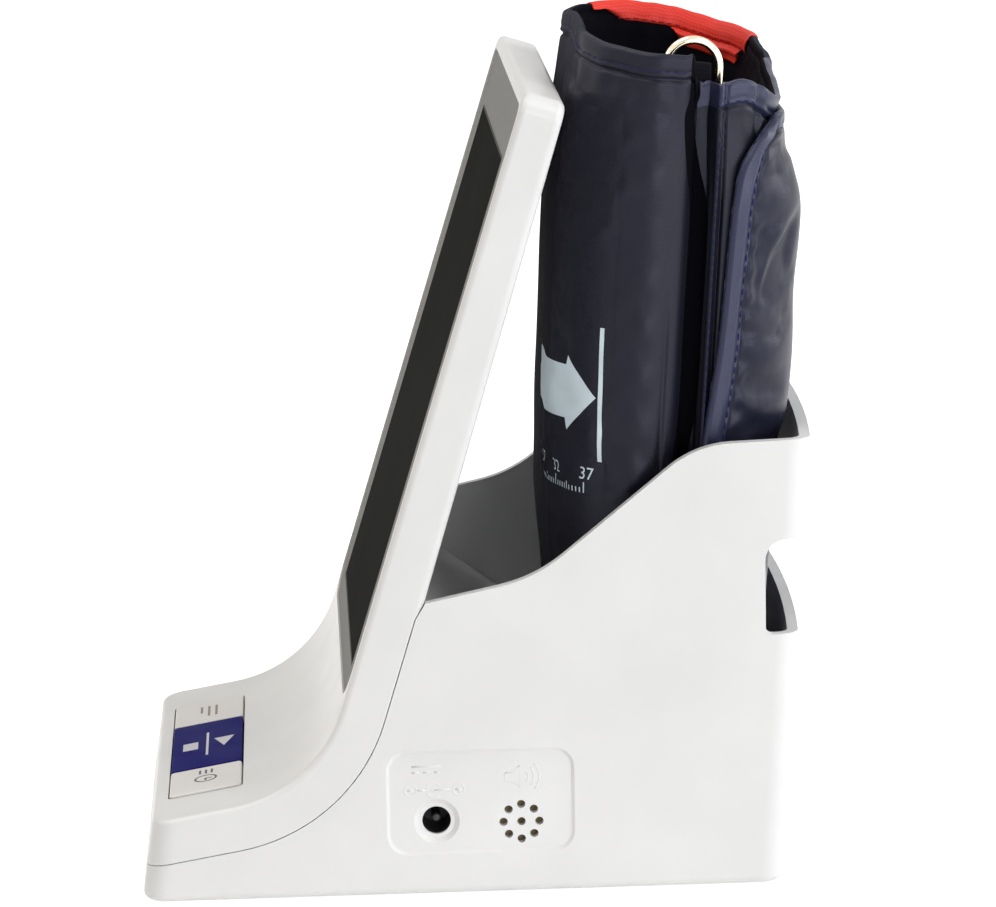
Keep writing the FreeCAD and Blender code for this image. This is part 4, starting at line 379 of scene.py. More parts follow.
# --- materials of the CAD nodes ---
CASE_PLASTIC = plastic("case_white", (0.85, 0.85, 0.84), 0.36, coat=0.05)
SOFT_RUBBER = rubber("foot_rubber", (0.04, 0.04, 0.04))
NODE_MATERIALS = [
    (CASE_PLASTIC, "front_bezel rear_housing display_back_cover air_socket"),
    (plastic("tray_white", (0.82, 0.815, 0.79), 0.45), "cuff_tray lcd_frame"),
    (plastic("base_white", (0.74, 0.735, 0.72), 0.45), "base_plate battery_door"),
    (plastic("key_blue", (0.010, 0.010, 0.140), 0.5, grain=1800.0, spread=0.08, gloss=0.02),
     "start_stop_button"),
    (plastic("key_white", (0.82, 0.80, 0.77), 0.32, grain=1800.0), "set_button view_button"),
    (plastic("moulded_black", (0.018, 0.018, 0.018), 0.42),
     "dc_jack tact_switches board_chips pressure_sensor"),
    (plastic("solder_mask", (0.02, 0.16, 0.07), 0.3, grain=500.0, spread=0.15),
     "display_board key_board main_board"),
    (plastic("flex_film", (0.52, 0.26, 0.05), 0.22, spread=0.1), "display_ribbon key_ribbon"),
    (plastic("light_guide", (0.80, 0.82, 0.80), 0.12), "backlight"),
    (plastic("display_glass", (0.02, 0.02, 0.018), 0.06, relief=0.000002), "lcd_panel"),
    (plastic("cell_sleeve", (0.16, 0.17, 0.19), 0.28, spread=0.12), "battery_cells"),
    (plastic("pump_black", (0.06, 0.06, 0.065), 0.45), "pump_head exhaust_valve air_manifold"),
    (metal("plated_steel", (0.60, 0.60, 0.60), 0.3),
     "base_screws back_cover_screws board_screws tray_screws pump_motor"),
    (metal("nickel", (0.68, 0.66, 0.60), 0.22), "battery_contacts battery_springs"),
    (metal("pale_gold_plate", (0.93, 0.83, 0.62), 0.13, stretch=(1, 1, 4), grain=300.0), "cuff_ring"),
    (plastic("speaker_cone", (0.46, 0.36, 0.22), 0.6, spread=0.1), "speaker"),
    (SOFT_RUBBER, "rubber_feet speaker_gasket cuff_bladder"),
    (rubber("grey_silicone", (0.46, 0.47, 0.47), 0.5), "key_membrane pump_saddles"),
    (rubber("hose_rubber", (0.22, 0.22, 0.23)), "inner_air_hoses"),
    (rubber("port_rubber", (0.02, 0.02, 0.02), 0.5), "cuff_air_port"),
    (lens_material(), "display_lens"),
]


def dress_nodes():
    for material, names in NODE_MATERIALS:
        for name in names.split():
            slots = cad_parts[name].data.materials
            slots.clear()
            slots.append(material)


# --- mesh and curve helpers ---

def make_piece(name, vertices, faces, material, body, smooth=True, uvs=None):
    mesh = bpy.data.meshes.new(name)
    mesh.from_pydata([tuple(v) for v in vertices], [], faces)
    mesh.validate()
    mesh.update()
    if uvs:
        layer = mesh.uv_layers.new(name="weave")
        for loop in mesh.loops:
            layer.data[loop.index].uv = uvs[loop.vertex_index]
    for polygon in mesh.polygons:
        polygon.use_smooth = smooth
    mesh.materials.append(material)
    piece = bpy.data.objects.new(name, mesh)
    bpy.context.scene.collection.objects.link(piece)
    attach(piece, body)
    return piece


def outward(piece):
    """Point every face outwards."""
    work = bmesh.new()
    work.from_mesh(piece.data)
    bmesh.ops.recalc_face_normals(work, faces=work.faces)
    work.to_mesh(piece.data)
    work.free()
    return piece


def quad_faces(rows, count, base=0):
    """Faces of a grid of rows with count places each."""
    return [(a, a + 1, a + count + 1, a + count)
            for a in (base + j * count + i for j in range(rows - 1) for i in range(count - 1))]


def shell_faces(rows, count, base=0):
    """Faces of two grids, the outer one first, joined round their edges."""
    offset = rows * count
    faces = []
    for a, b, c, d in quad_faces(rows, count, base):
        faces += [(a, b, c, d), (offset + d, offset + c, offset + b, offset + a)]
    for j in range(rows - 1):
        for a in (base + j * count, base + (j + 1) * count - 1):
            faces.append((a, a + count, offset + a + count, offset + a))
    for i in range(count - 1):
        for a in (base + i, base + (rows - 1) * count + i):
            faces.append((a, a + 1, offset + a + 1, offset + a))
    return faces


def smoothstep(low, high, value):
    t = min(1.0, max(0.0, (value - low) / (high - low)))
    return t * t * (3 - 2 * t)


def bell(value, centre, width):
    return math.exp(-((value - centre) / width) ** 2)


def track(points, value):
    """Smooth curve through (at, height) points."""
    if value <= points[0][0]:
        return points[0][1]
    for i in range(len(points) - 1):
        x0, y0 = points[i]
        x1, y1 = points[i + 1]
        if value <= x1:
            before = points[max(i - 1, 0)]
            after = points[min(i + 2, len(points) - 1)]
            m0 = (y1 - before[1]) / (x1 - before[0]) if x1 != before[0] else 0.0
            m1 = (after[1] - y0) / (after[0] - x0) if after[0] != x0 else 0.0
            h = x1 - x0
            t = (value - x0) / h
            return ((2 * t ** 3 - 3 * t ** 2 + 1) * y0 + (t ** 3 - 2 * t ** 2 + t) * h * m0
                    + (-2 * t ** 3 + 3 * t ** 2) * y1 + (t ** 3 - t ** 2) * h * m1)
    return points[-1][1]


# --- the rolled cuff: its plain form ---
CUFF_HALF = 44.0
CUFF_DEPTH = 48.2
CUFF_CORNER = 18.0
STRAIGHT_X = CUFF_HALF - CUFF_CORNER
STRAIGHT_Y = CUFF_DEPTH - 2 * CUFF_CORNER
ARC = CUFF_CORNER * math.pi / 2
ROUND = 4 * ARC + 4 * STRAIGHT_X + 2 * STRAIGHT_Y      # all the way round the roll
SIDE_START = STRAIGHT_X + ARC                          # near side, behind its front corner
SIDE_END = SIDE_START + STRAIGHT_Y
# outlines, as depth behind the plain front face by height
FRONT_TRACK = [(0, 5.2), (14, 4.0), (33, 1.5), (44, 1.1), (60, 0.4), (78, 0.0), (99, 0.0),
               (118, 0.8), (128, 1.7), (141, 3.0)]
OUTER_REAR = [(0, 50.0), (52, 50.0), (62, 51.5), (84, 51.8), (104, 51.8), (109, 51.2), (115, 49.4),
              (124, 47.4), (134, 46.4), (143, 46.0)]
FLAP_TOP = 126.8              # upper edge of the cuff's free end
FLAP_HEM = 3.6                # width of its upper hem
FLAP_THICK = 1.7
FLAP_FLOOR = -0.9             # where its folds start to be kept off the roll


def roll_rear(up):
    """Rear face of the roll under the free end that is wrapped over it."""
    return track(OUTER_REAR, up) - FLAP_THICK * (1 - smoothstep(FLAP_TOP - 1.0, FLAP_TOP + 4.0, up))


def section_point(s, up):
    """Point and outward direction of the plain roll, s mm round from the middle of its front."""
    s %= ROUND
    front = track(FRONT_TRACK, up)
    rear = roll_rear(up)
    r = CUFF_CORNER
    stretch = (rear - front - 2 * r) / STRAIGHT_Y
    mirror = 1.0
    if s > ROUND / 2:
        s = ROUND - s
        mirror = -1.0
    if s < STRAIGHT_X:
        x, y, nx, ny = s, front, 0.0, -1.0
    elif s < SIDE_START:
        a = (s - STRAIGHT_X) / r
        x, y = STRAIGHT_X + r * math.sin(a), front + r - r * math.cos(a)
        nx, ny = math.sin(a), -math.cos(a)
    elif s < SIDE_END:
        x, y, nx, ny = CUFF_HALF, front + r + (s - SIDE_START) * stretch, 1.0, 0.0
    elif s < SIDE_END + ARC:
        a = (s - SIDE_END) / r
        x, y = STRAIGHT_X + r * math.cos(a), rear - r + r * math.sin(a)
        nx, ny = math.cos(a), math.sin(a)
    else:
        x = STRAIGHT_X - (s - SIDE_END - ARC)
        y, nx, ny = rear, 0.0, 1.0
    return x * mirror, y, nx * mirror, ny


def cuff_point(s, up, lift):
    """Point lift mm out from the plain roll, in the shared frame."""
    x, y, nx, ny = section_point(s, up)
    return on_cuff(x + nx * lift, y + ny * lift, up)


def way_out(s, up):
    """Direction out of the roll, in the shared frame."""
    nx, ny = section_point(s, up)[2:]
    return (on_cuff(nx, ny, 0) - on_cuff(0, 0, 0)).normalized()


def near_s(back, up):
    """Distance round the roll of a place on the near side, from its depth behind the front face."""
    front, rear, r = track(FRONT_TRACK, up), roll_rear(up), CUFF_CORNER
    if back < front + r:
        return STRAIGHT_X + r * math.acos(max(-1.0, 1 - (back - front) / r))
    if back < rear - r:
        return SIDE_START + (back - front - r) / (rear - front - 2 * r) * STRAIGHT_Y
    return SIDE_END + r * math.asin(min(1.0, (back - rear + r) / r))


# the rim, by distance round the roll: high in front, notched at the fold, low at the near rear corner
RIM_TRACK = [(0, 142.4), (20, 142.2), (30, 141.8), (37, 140.6), (43, 139.8), (54, 139.2), (60, 139.2),
             (63.0, 138.7), (63.9, 134.4), (66.2, 133.0), (67.6, 133.4), (71.5, 133.6), (75.3, 134.3),
             (79, 133.4), (86, 130.6), (95, 129.9), (106, 132.0), (121, 134.3), (140, 135.7), (160, 137.0),
             (175, 139.6), (187, 140.6), (203, 140.0), (217, 140.2), (ROUND, 142.4)]
HEM = 5.3                     # width of the turned hem under the rim
SEAM_DROP = 3.7               # rim to the hem's stitches


def rim_height(s):
    s %= ROUND
    return track(RIM_TRACK, s) + 0.30 * noise.noise(Vector((s * 0.16, 4.0, 0.5)))


FOLD_START = 23.6             # the front panel starts to turn in towards the fold
FOLD_END = 27.3
PANEL_START = 31.0            # the second panel's edge on the other side of the fold
FOLD_DEPTH = 5.0
REAR_CREASE = 40.6


def fold_lift(y, up):
    """Near side, by depth: the front panel's rounded end, the dark fold and the second panel."""
    inward = min(1.0, max(0.0, (y - FOLD_START) / (FOLD_END - FOLD_START)))
    lift = -FOLD_DEPTH * (1 - math.sqrt(1 - inward * inward))
    lift += FOLD_DEPTH * smoothstep(PANEL_START - 0.55, PANEL_START + 0.45, y)
    lift += 1.10 * bell(y, 18.6, 4.4)
    lift -= 0.30 * bell(y, 23.0, 0.55) * smoothstep(28, 45, up) * (1 - smoothstep(74, 92, up))
    behind = smoothstep(PANEL_START, PANEL_START + 1.0, y)
    lift += behind * (0.45 * bell(y, PANEL_START + 0.9, 0.45) - 0.95 * bell(y, PANEL_START + 2.1, 0.40))
    lift -= 0.55 * behind * smoothstep(PANEL_START + 1.2, PANEL_START + 2.6, y)
    lift -= 1.1 * bell(y, REAR_CREASE, 0.55) * smoothstep(118, 126, up)
    return lift


def in_fold(x, y):
    """1 in the dark fold of the near side, 0 outside it."""
    behind = smoothstep(PANEL_START - 0.5, PANEL_START, y)
    return smoothstep(FOLD_END - 0.9, FOLD_END, y) * (1 - behind) * (x > 0)


def slack(s, up):
    """Slow waves of cloth that hangs loosely between its seams."""
    slow = noise.noise(Vector((s * 0.033, up * 0.017, 3.1)))
    quick = noise.noise(Vector((s * 0.10, up * 0.045, 9.7)))
    return (0.65 * slow + 0.20 * quick) * (0.25 + 0.75 * smoothstep(-6, 60, up))


def skin_lift(s, up):
    """How far the cloth stands out from the plain roll: folds, hem and gathers."""
    s %= ROUND
    x, y, _, _ = section_point(s, up)
    top = rim_height(s)
    lift = slack(s, up)
    if x > 0 and y > CUFF_CORNER - 6:
        lift += fold_lift(y, up)
    hemmed = 1.0 - in_fold(x, y)
    crease = bell(up, top - HEM, 0.5)
    lift -= 0.55 * crease * hemmed
    lift += 0.35 * smoothstep(top - HEM, top - HEM + 1.0, up) * hemmed
    lift -= 0.25 * bell(up, top - SEAM_DROP, 0.45) * hemmed
    gather = math.sin(s * 0.85 + 2.5 * noise.noise(Vector((s * 0.07, 0.3, 1.7))))
    lift += 0.16 * gather * bell(up, top - HEM - 2.5, 5.0) * hemmed
    lift += drape_offset("roll", s, up)
    return lift


def on_skin(s, up, proud=0.0, lift=skin_lift):
    """Point of the outer cloth in the shared frame, and the way out of it there."""
    return cuff_point(s, up, lift(s, up) + proud), way_out(s, up)


# --- cloth simulation of the two loose panels, kept as an offset along the roll's normals ---
SIM_SCALE = 10.0              # the panels are simulated at ten times their size
SIM_FRAMES = 20
DRAPES = {}


def drape_offset(name, s, up):
    """Offset in mm that the simulation gave a panel at a place, or none outside the panel."""
    if name not in DRAPES:
        return 0.0
    s0, s1, up0, up1, columns, rows, grid = DRAPES[name]
    u = (s - s0) / (s1 - s0) * (columns - 1)
    v = (up - up0) / (up1 - up0) * (rows - 1)
    if not (0 <= u < columns - 1 and 0 <= v < rows - 1):
        return 0.0
    i, j = int(u), int(v)
    fu, fv = u - i, v - j
    low = grid[j][i] * (1 - fu) + grid[j][i + 1] * fu
    high = grid[j + 1][i] * (1 - fu) + grid[j + 1][i + 1] * fu
    return low * (1 - fv) + high * fv


def simulate_panel(name, s0, s1, up0, up1, step, slackness, pressure, cap, pinned):
    """Let a panel of loose cloth settle on the roll and keep how far it moved, limited to a cap in mm."""
    columns = int((s1 - s0) / step) + 1
    rows = int((up1 - up0) / step) + 1
    vertices, ways, pins = [], [], []
    for j in range(rows):
        for i in range(columns):
            s = s0 + (s1 - s0) * i / (columns - 1)
            up = up0 + (up1 - up0) * j / (rows - 1)
            x, y, nx, ny = section_point(s, up)
            ripple = 0.12 * math.sin(i * 1.3 + j * 0.7) * math.sin(j * 0.9 - i * 0.4)
            vertices.append(Vector((x + nx * ripple, y + ny * ripple, up)) * MM * SIM_SCALE)
            ways.append(Vector((nx, ny, 0)))
            if i in (0, columns - 1) or j in (0, rows - 1) or pinned(s, up):
                pins.append(j * columns + i)
    mesh = bpy.data.meshes.new(name)
    mesh.from_pydata([tuple(v) for v in vertices], [], quad_faces(rows, columns))
    sheet = bpy.data.objects.new(name, mesh)
    bpy.context.scene.collection.objects.link(sheet)
    sheet.vertex_groups.new(name="pins").add(pins, 1.0, "REPLACE")
    modifier = sheet.modifiers.new("cloth", "CLOTH")
    cloth = modifier.settings
    cloth.quality = 6
    cloth.mass = 0.2
    cloth.tension_stiffness = cloth.compression_stiffness = 12.0
    cloth.shear_stiffness = 4.0
    cloth.bending_stiffness = 0.15
    cloth.vertex_group_mass = "pins"
    cloth.shrink_min = -slackness
    cloth.use_pressure = True
    cloth.uniform_pressure_force = pressure
    cloth.effector_weights.gravity = 0.0
    modifier.collision_settings.use_collision = False
    modifier.point_cache.frame_start = 1
    modifier.point_cache.frame_end = SIM_FRAMES
    for number in range(1, SIM_FRAMES + 1):
        bpy.context.scene.frame_set(number)
    settled = sheet.evaluated_get(bpy.context.evaluated_depsgraph_get()).to_mesh()
    moved = [(vertex.co - start).dot(way) / SIM_SCALE / MM
             for vertex, start, way in zip(settled.vertices, vertices, ways)]
    moved = [max(-cap * 0.4, min(cap, value)) for value in moved]
    grid = [moved[j * columns:(j + 1) * columns] for j in range(rows)]
    DRAPES[name] = (s0, s1, up0, up1, columns, rows, grid)
    bpy.context.scene.frame_set(1)
    bpy.data.objects.remove(sheet)


# the free end of the wrap: its near edge, the stitches beside it and its deepest fold, as depth by height
FLAP_EDGE = [(0, 31.8), (57, 31.9), (66.4, 32.7), (77.2, 33.8), (87.9, 34.4), (100.7, 34.9), (109.1, 35.3),
             (115.9, 36.2), (119.8, 38.1), (123.1, 40.4), (126.8, 43.6)]
FLAP_STITCH = [(0, 35.8), (57, 35.9), (66.5, 36.9), (77.3, 37.8), (88, 38.2), (98.7, 38.7), (109.3, 39.2),
               (115.7, 40.2), (119.9, 41.3), (123.2, 43.6)]
FLAP_CREASE = [(84, 41.2), (90.4, 43.4), (97.3, 46.1), (103.3, 47.9), (110, 49.3)]
FLAP_FAR = 155.0              # distance round the roll of the free end's hidden edge
FLAP_EDGE_R = 0.9
FLAP_COLUMNS = 150
FLAP_ROWS = 170
FLAP_CORNER = 123.0           # height where its stitches turn along the upper hem
BIN_REAR = 50.05              # depth of the bin's rear wall, which the free end leans on


def flap_seam(up):
    """Distance round the roll of the stitches along the free end's near edge."""
    return near_s(track(FLAP_STITCH, min(up, FLAP_CORNER)), up)


def flap_pinned(s, up):
    """The free end is held along its stitches, at its upper hem and where it enters the bin."""
    return s < flap_seam(up) + 1.0 or up > FLAP_TOP - 5 or up < 50


def front_pinned(s, up):
    """The front panel is held along its hem, its fold and the bin."""
    return up > rim_height(s) - HEM - 1 or up < 44 or s > 56


# --- the cuff's materials and cloth pieces ---
CLOTH = woven("cuff_nylon", (0.0075, 0.0080, 0.0145), 0.00040, 0.42, shine=0.28, matt_rim=True)
# the free end's nylon is a lighter, bluer copy of the roll's nylon: painted sheen where light falls on it
FREE_END_SHEEN_CLOTH = woven("free_end_nylon_painted_sheen", (0.0080, 0.0090, 0.0200), 0.00040, 0.38, shine=0.30)
# lighter, more lavender copy of the cuff nylon for the hems and the free end's edge band: painted sheen
SHEEN_EDGE_CLOTH = woven("cuff_edge_painted_sheen", (0.019, 0.022, 0.052), 0.00040, 0.40, shine=0.50)
CLOTH_INNER = woven("cuff_inner_nylon", (0.004, 0.004, 0.006), 0.0006, 0.7, shine=0.02)
LINING = woven("cuff_red_lining", (0.99, 0.048, 0.026), 0.0008, 0.55, shine=0.4)
THREAD = woven("thread_blue", (0.013, 0.015, 0.090), 0.0002, 0.55)
THREAD_RED = woven("thread_dark_red", (0.24, 0.008, 0.006), 0.0002, 0.6)
STRAP = woven("strap_webbing", (0.004, 0.004, 0.006), 0.0009, 0.6, relief=0.00012, shine=0.06)
PRINT = plastic("screen_print", (0.80, 0.93, 1.0), 0.5, grain=3000.0, gloss=0.3)
WHITE_INK = plastic("white_ink", (0.72, 0.73, 0.80), 0.5, grain=3000.0, gloss=0.1)
BROWN_INK = plastic("brown_ink", (0.36, 0.31, 0.27), 0.5, grain=3000.0, gloss=0.1)
GREY_INK = plastic("grey_ink", (0.16, 0.16, 0.17), 0.5, grain=3000.0, gloss=0.1)
WALL_AT_RIM = 2.1
WALL_BELOW = 6.2
RIM_RADIUS = WALL_AT_RIM / 2


def inner_lift(s, up):
    """Where the roll's inner face lies, from the plain roll's outer skin."""
    below = max(0.0, rim_height(s) - RIM_RADIUS - up)
    wall = WALL_AT_RIM + (WALL_BELOW - WALL_AT_RIM) * smoothstep(0, 26, below)
    return skin_lift(s, up) * (1 - smoothstep(0, 20, below)) - wall


def spaced(stops):
    """Values from stop to stop, given as (value, step up to the next stop)."""
    values = []
    for (start, step), (end, _) in zip(stops, stops[1:]):
        count = max(1, round((end - start) / step))
        values += [start + (end - start) * k / count for k in range(count)]
    return values


# places round the roll, closest together at the fold, and shares of the height, closest at the hem
ROLL_PLACES = spaced([(0, 0.7), (40, 0.5), (56, 0.16), (70, 0.4), (84, 0.8), (ROUND, 1)])
RISE_SHARES = spaced([(0, 0.0075), (0.90, 0.0021), (1.0, 1)]) + [1.0]
INNER_SHARES = spaced([(0, 0.03), (0.7, 0.012), (1.0, 1)]) + [1.0]
RIM_STEPS = 8
FOLD_SHADE_SHARE = 0.35          # share of the fold from which its cloth is the black inner one, as painted shade deep in the fold


def cuff_roll():
    """Outer cloth of the roll with its rounded rim, closed through the inside."""
    vertices, uvs, faces = [], [], []
    rows = [("out", share) for share in RISE_SHARES]
    rows += [("rim", j / RIM_STEPS) for j in range(1, RIM_STEPS)]
    rows += [("in", share) for share in reversed(INNER_SHARES)]
    for kind, share in rows:
        for s in ROLL_PLACES:
            top = rim_height(s) - RIM_RADIUS
            up = share * top
            if kind == "out":
                lift = skin_lift(s, up)
            elif kind == "rim":
                up = top + RIM_RADIUS * math.sin(math.pi * share)
                lift = skin_lift(s, top) - RIM_RADIUS + RIM_RADIUS * math.cos(math.pi * share)
            else:
                lift = inner_lift(s, up)
            vertices.append(cuff_point(s, up, lift))
            uvs.append((s * MM, up * MM))
    count = len(ROLL_PLACES)
    for j in range(len(rows)):
        here, following = j * count, (j + 1) % len(rows) * count
        for i in range(count):
            k = (i + 1) % count
            faces.append((here + i, here + k, following + k, following + i))
    piece = make_piece("cuff_roll", vertices, faces, CLOTH, "cuff", uvs=uvs)
    piece.data.materials.append(CLOTH_INNER)
    piece.data.materials.append(SHEEN_EDGE_CLOTH)
    inside = len(RISE_SHARES) - 1 + RIM_STEPS // 2
    for polygon in piece.data.polygons:
        row, column = divmod(polygon.index, count)
        s = ROLL_PLACES[column]
        x, y, _, _ = section_point(s, 100.0)
        up = uvs[polygon.vertices[0]][1] / MM
        # faces deep in the fold take the black inner cloth: painted shade in the fold
        if row > inside or in_fold(x, y) > FOLD_SHADE_SHARE:
            polygon.material_index = 1
        # the second panel's real hem takes the lighter nylon: painted sheen in its colour
        elif x > 0 and y > PANEL_START and up > rim_height(s) - HEM:
            polygon.material_index = 2
    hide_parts("cuff_cover")
    return outward(piece)


def flap_field(s, up):
    """Folds of the free end: raised edge tape, sunk stitch line, puckers and slanting creases."""
    edge = near_s(track(FLAP_EDGE, up), up)
    past = s - flap_seam(up)
    lift = 0.55 * smoothstep(0.0, 1.2, s - edge) * (1 - smoothstep(-1.6, -0.2, past))
    lift -= 0.50 * bell(past, 0.0, 0.6)
    lift -= 0.40 * bell(up, FLAP_TOP - FLAP_HEM, 0.6)
    pucker = math.sin(up * 1.15 + 2.0 * noise.noise(Vector((up * 0.08, 5.0, 2.0))))
    lift += 0.26 * pucker * bell(past, 1.8, 1.9)
    loose = smoothstep(1.0, 7.0, past) * smoothstep(0, 12, FLAP_TOP - up)
    slant = up * 0.19 + s * 0.15
    wave = math.sin(slant + 2.6 * noise.noise(Vector((s * 0.035, up * 0.022, 6.0))))
    folds = 1.05 * wave + 0.85 * noise.noise(Vector((s * 0.075, up * 0.040, 12.5)))
    folds += drape_offset("flap", s, up)
    lift += loose * (0.95 * math.tanh(folds / 1.3) - 0.60)
    across = s - near_s(track(FLAP_CREASE, up), up)
    along = smoothstep(86, 91, up) * (1 - smoothstep(101, 108, up))
    lift += along * loose * (0.75 * bell(across, -4.4, 3.0) - 1.25 * bell(across, 0.8, 2.4))
    level = up + 0.12 * (s - 80)
    low_folds = 0.55 * bell(level, 76.5, 3.4) - 0.85 * bell(level, 70.2, 2.6) + 0.5 * bell(level, 64.0, 3.2)
    lift += low_folds * bell(past, 7.0, 7.0) * smoothstep(0.8, 3.0, past)
    lift -= 0.8 * bell(past, 3.1, 1.2) * smoothstep(84, 92, up) * (1 - smoothstep(100, 106, up))
    if lift < FLAP_FLOOR:                             # no fold reaches the roll under the free end
        lift = FLAP_FLOOR - 0.5 * math.tanh((FLAP_FLOOR - lift) / 0.5)
    return lift


def flap_lift(s, up):
    low = 0.35 + 0.65 * smoothstep(45, 66, up)
    return slack(s, up) + flap_field(s, up) * low


def edge_round(inside):
    share = min(1.0, max(0.0, inside / FLAP_EDGE_R))
    return math.sqrt(1 - (1 - share) ** 2)


def cuff_flap():
    """The free end: a padded sheet over the rear of the roll, with a rounded upper corner."""
    across = [(i / FLAP_COLUMNS) ** 1.45 for i in range(FLAP_COLUMNS + 1)]      # closest at the near edge
    rises = [1 - (i / FLAP_ROWS) ** 1.2 for i in range(FLAP_ROWS + 1)][::-1]    # and at the upper edge
    vertices, uvs = [], []
    for layer in ("out", "in"):
        for rise in rises:
            up = rise * FLAP_TOP
            start = near_s(track(FLAP_EDGE, up), up)
            for share in across:
                s = start + (FLAP_FAR - start) * share
                round_off = edge_round(s - start) * edge_round(FLAP_TOP - up) * edge_round(FLAP_FAR - s)
                middle, half = FLAP_THICK * 0.5, FLAP_THICK * 0.5 * round_off
                lift = flap_lift(s, up) + middle + half if layer == "out" else slack(s, up) + middle - half
                lift = min(lift, BIN_REAR - roll_rear(up) + 7.0 * smoothstep(49, 64, up))
                vertices.append(cuff_point(s, up, lift))
                uvs.append((s * MM, up * MM))
    faces = shell_faces(len(rises), len(across))
    piece = make_piece("cuff_free_end", vertices, faces, FREE_END_SHEEN_CLOTH, "cuff", uvs=uvs)
    piece.data.materials.append(SHEEN_EDGE_CLOTH)
    for polygon in piece.data.polygons:
        s, up = (value / MM for value in uvs[polygon.vertices[0]])
        # the free end's edge band and upper hem take the lighter nylon: painted sheen in their colour
        if s < flap_seam(up) or up > FLAP_TOP - FLAP_HEM:
            polygon.material_index = 1
    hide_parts("cuff_flap")
    return outward(piece)


def flap_skin(s, up):
    return flap_lift(s, up) + FLAP_THICK


STITCH_RINGS, STITCH_SIDES = 5, 6


def stitches(name, places, lift, material, length=1.25, gap=0.75, radius=0.16, inward=False):
    """A row of thread stitches sunk a little into the cloth, along (s, up) places on the roll."""
    path = []
    run = 0.0
    for k, (s, up) in enumerate(places):
        point, way = on_skin(s, up, 0.0 if inward else 0.02, lift)
        if k:
            run += (point - path[-1][1]).length / MM
        path.append((run, point, -way if inward else way))

    def at(distance):
        for (run0, point0, way0), (run1, point1, way1) in zip(path, path[1:]):
            if distance <= run1:
                t = (distance - run0) / max(run1 - run0, 1e-6)
                return point0.lerp(point1, t), way0.lerp(way1, t).normalized()
        return path[-1][1:]

    vertices, faces = [], []
    place_at = gap
    while place_at + length < path[-1][0]:
        first, way = at(place_at)
        last, _ = at(place_at + length)
        across = (last - first).normalized().cross(way).normalized()
        start = len(vertices)
        for r in range(STITCH_RINGS):
            t = r / (STITCH_RINGS - 1)
            girth = radius * MM * max(0.25, math.sqrt(max(0.0, 1 - (2 * t - 1) ** 2)) ** 0.6)
            middle = first.lerp(last, t) + way * (0.05 * MM * math.sin(math.pi * t))
            for k in range(STITCH_SIDES):
                turn = math.tau * k / STITCH_SIDES
                vertices.append(middle + across * (girth * math.cos(turn))
                                + way * (girth * 0.8 * math.sin(turn)))
        for ring in range(start, len(vertices) - STITCH_SIDES, STITCH_SIDES):
            for k in range(STITCH_SIDES):
                m = (k + 1) % STITCH_SIDES
                faces.append((ring + k, ring + m, ring + STITCH_SIDES + m, ring + STITCH_SIDES + k))
        faces.append(tuple(range(start, start + STITCH_SIDES))[::-1])
        faces.append(tuple(range(len(vertices) - STITCH_SIDES, len(vertices))))
        place_at += length + gap
    piece = make_piece(name, vertices, faces, material, "cuff", uvs=[(v.x + v.y, v.z) for v in vertices])
    return outward(piece)


SEAM_STEPS = 120
SEAM_FOOT = 2.0               # height where the upright seams start


def all_stitches():
    """Every sewn line of the cuff that shows."""
    shares = [k / SEAM_STEPS for k in range(SEAM_STEPS + 1)]
    front = [ROUND - 40 + (near_s(FOLD_END - 1.6, 135) + 40) * share for share in shares]
    stitches("hem_stitches_front", [(s % ROUND, rim_height(s) - SEAM_DROP) for s in front],
             skin_lift, THREAD)
    second = [near_s(PANEL_START + 1.2 + 7.6 * k / 20, 130) for k in range(21)]
    stitches("hem_stitches_second", [(s, rim_height(s) - 4.4) for s in second], skin_lift, THREAD)
    rises = [SEAM_FOOT + (125 - SEAM_FOOT) * share for share in shares]
    stitches("panel_edge_stitches", [(near_s(PANEL_START + 1.0, up), up) for up in rises], skin_lift, THREAD,
             length=1.5, radius=0.13)
    rises = [SEAM_FOOT + 121.2 * share for share in shares]
    seam = [(near_s(track(FLAP_STITCH, up), up), up) for up in rises]
    corner = seam[-1][0]
    top = [(corner + (FLAP_FAR - 4 - corner) * share, FLAP_TOP - FLAP_HEM) for share in shares[1:]]
    stitches("free_end_stitches", seam + top, flap_skin, THREAD, length=1.6, gap=0.8, radius=0.2)


def strip(name, grids, material, thickness=0.5):
    """A cloth strip from one or more grids of (point, way out) rows, given a small thickness."""
    vertices, uvs, faces = [], [], []
    for rows in grids:
        count = len(rows[0])
        base = len(vertices)
        for layer in (0.0, -thickness * MM):
            rise = [0.0] * count
            for j, row in enumerate(rows):
                run = 0.0
                for i, (point, way) in enumerate(row):
                    if i:
                        run += (point - row[i - 1][0]).length
                    if j:
                        rise[i] += (point - rows[j - 1][i][0]).length
                    vertices.append(point + way * layer)
                    uvs.append((run, rise[i]))
        faces += shell_faces(len(rows), count, base)
    piece = make_piece(name, vertices, faces, material, "cuff", uvs=uvs)
    return outward(piece)


def inside_point(s, up, deeper):
    """Point deeper mm in from the roll's inner face, and the way into the hollow."""
    return cuff_point(s, up, inner_lift(s, up) - deeper), -way_out(s, up)


def over_rim(s, angle, proud):
    """Point proud mm off the rounded rim, angle 0 at the outer skin and pi at the inner face."""
    top = rim_height(s) - RIM_RADIUS
    reach = RIM_RADIUS + proud
    up = top + reach * math.sin(angle)
    lift = skin_lift(s, top) - RIM_RADIUS + reach * math.cos(angle)
    return cuff_point(s, up, lift), way_out(s, up) * math.cos(angle) + CUFF_UP * math.sin(angle)


def far_s(back, up):
    return ROUND - near_s(back, up)


RED_BAND = 4.4                # height of the red band under the rim
RED_STEP = 3.0                # and of the narrower band below its seam
RED_STEPS = 170


def rows_of(columns):
    """Columns of points turned into rows."""
    return [list(row) for row in zip(*columns)]


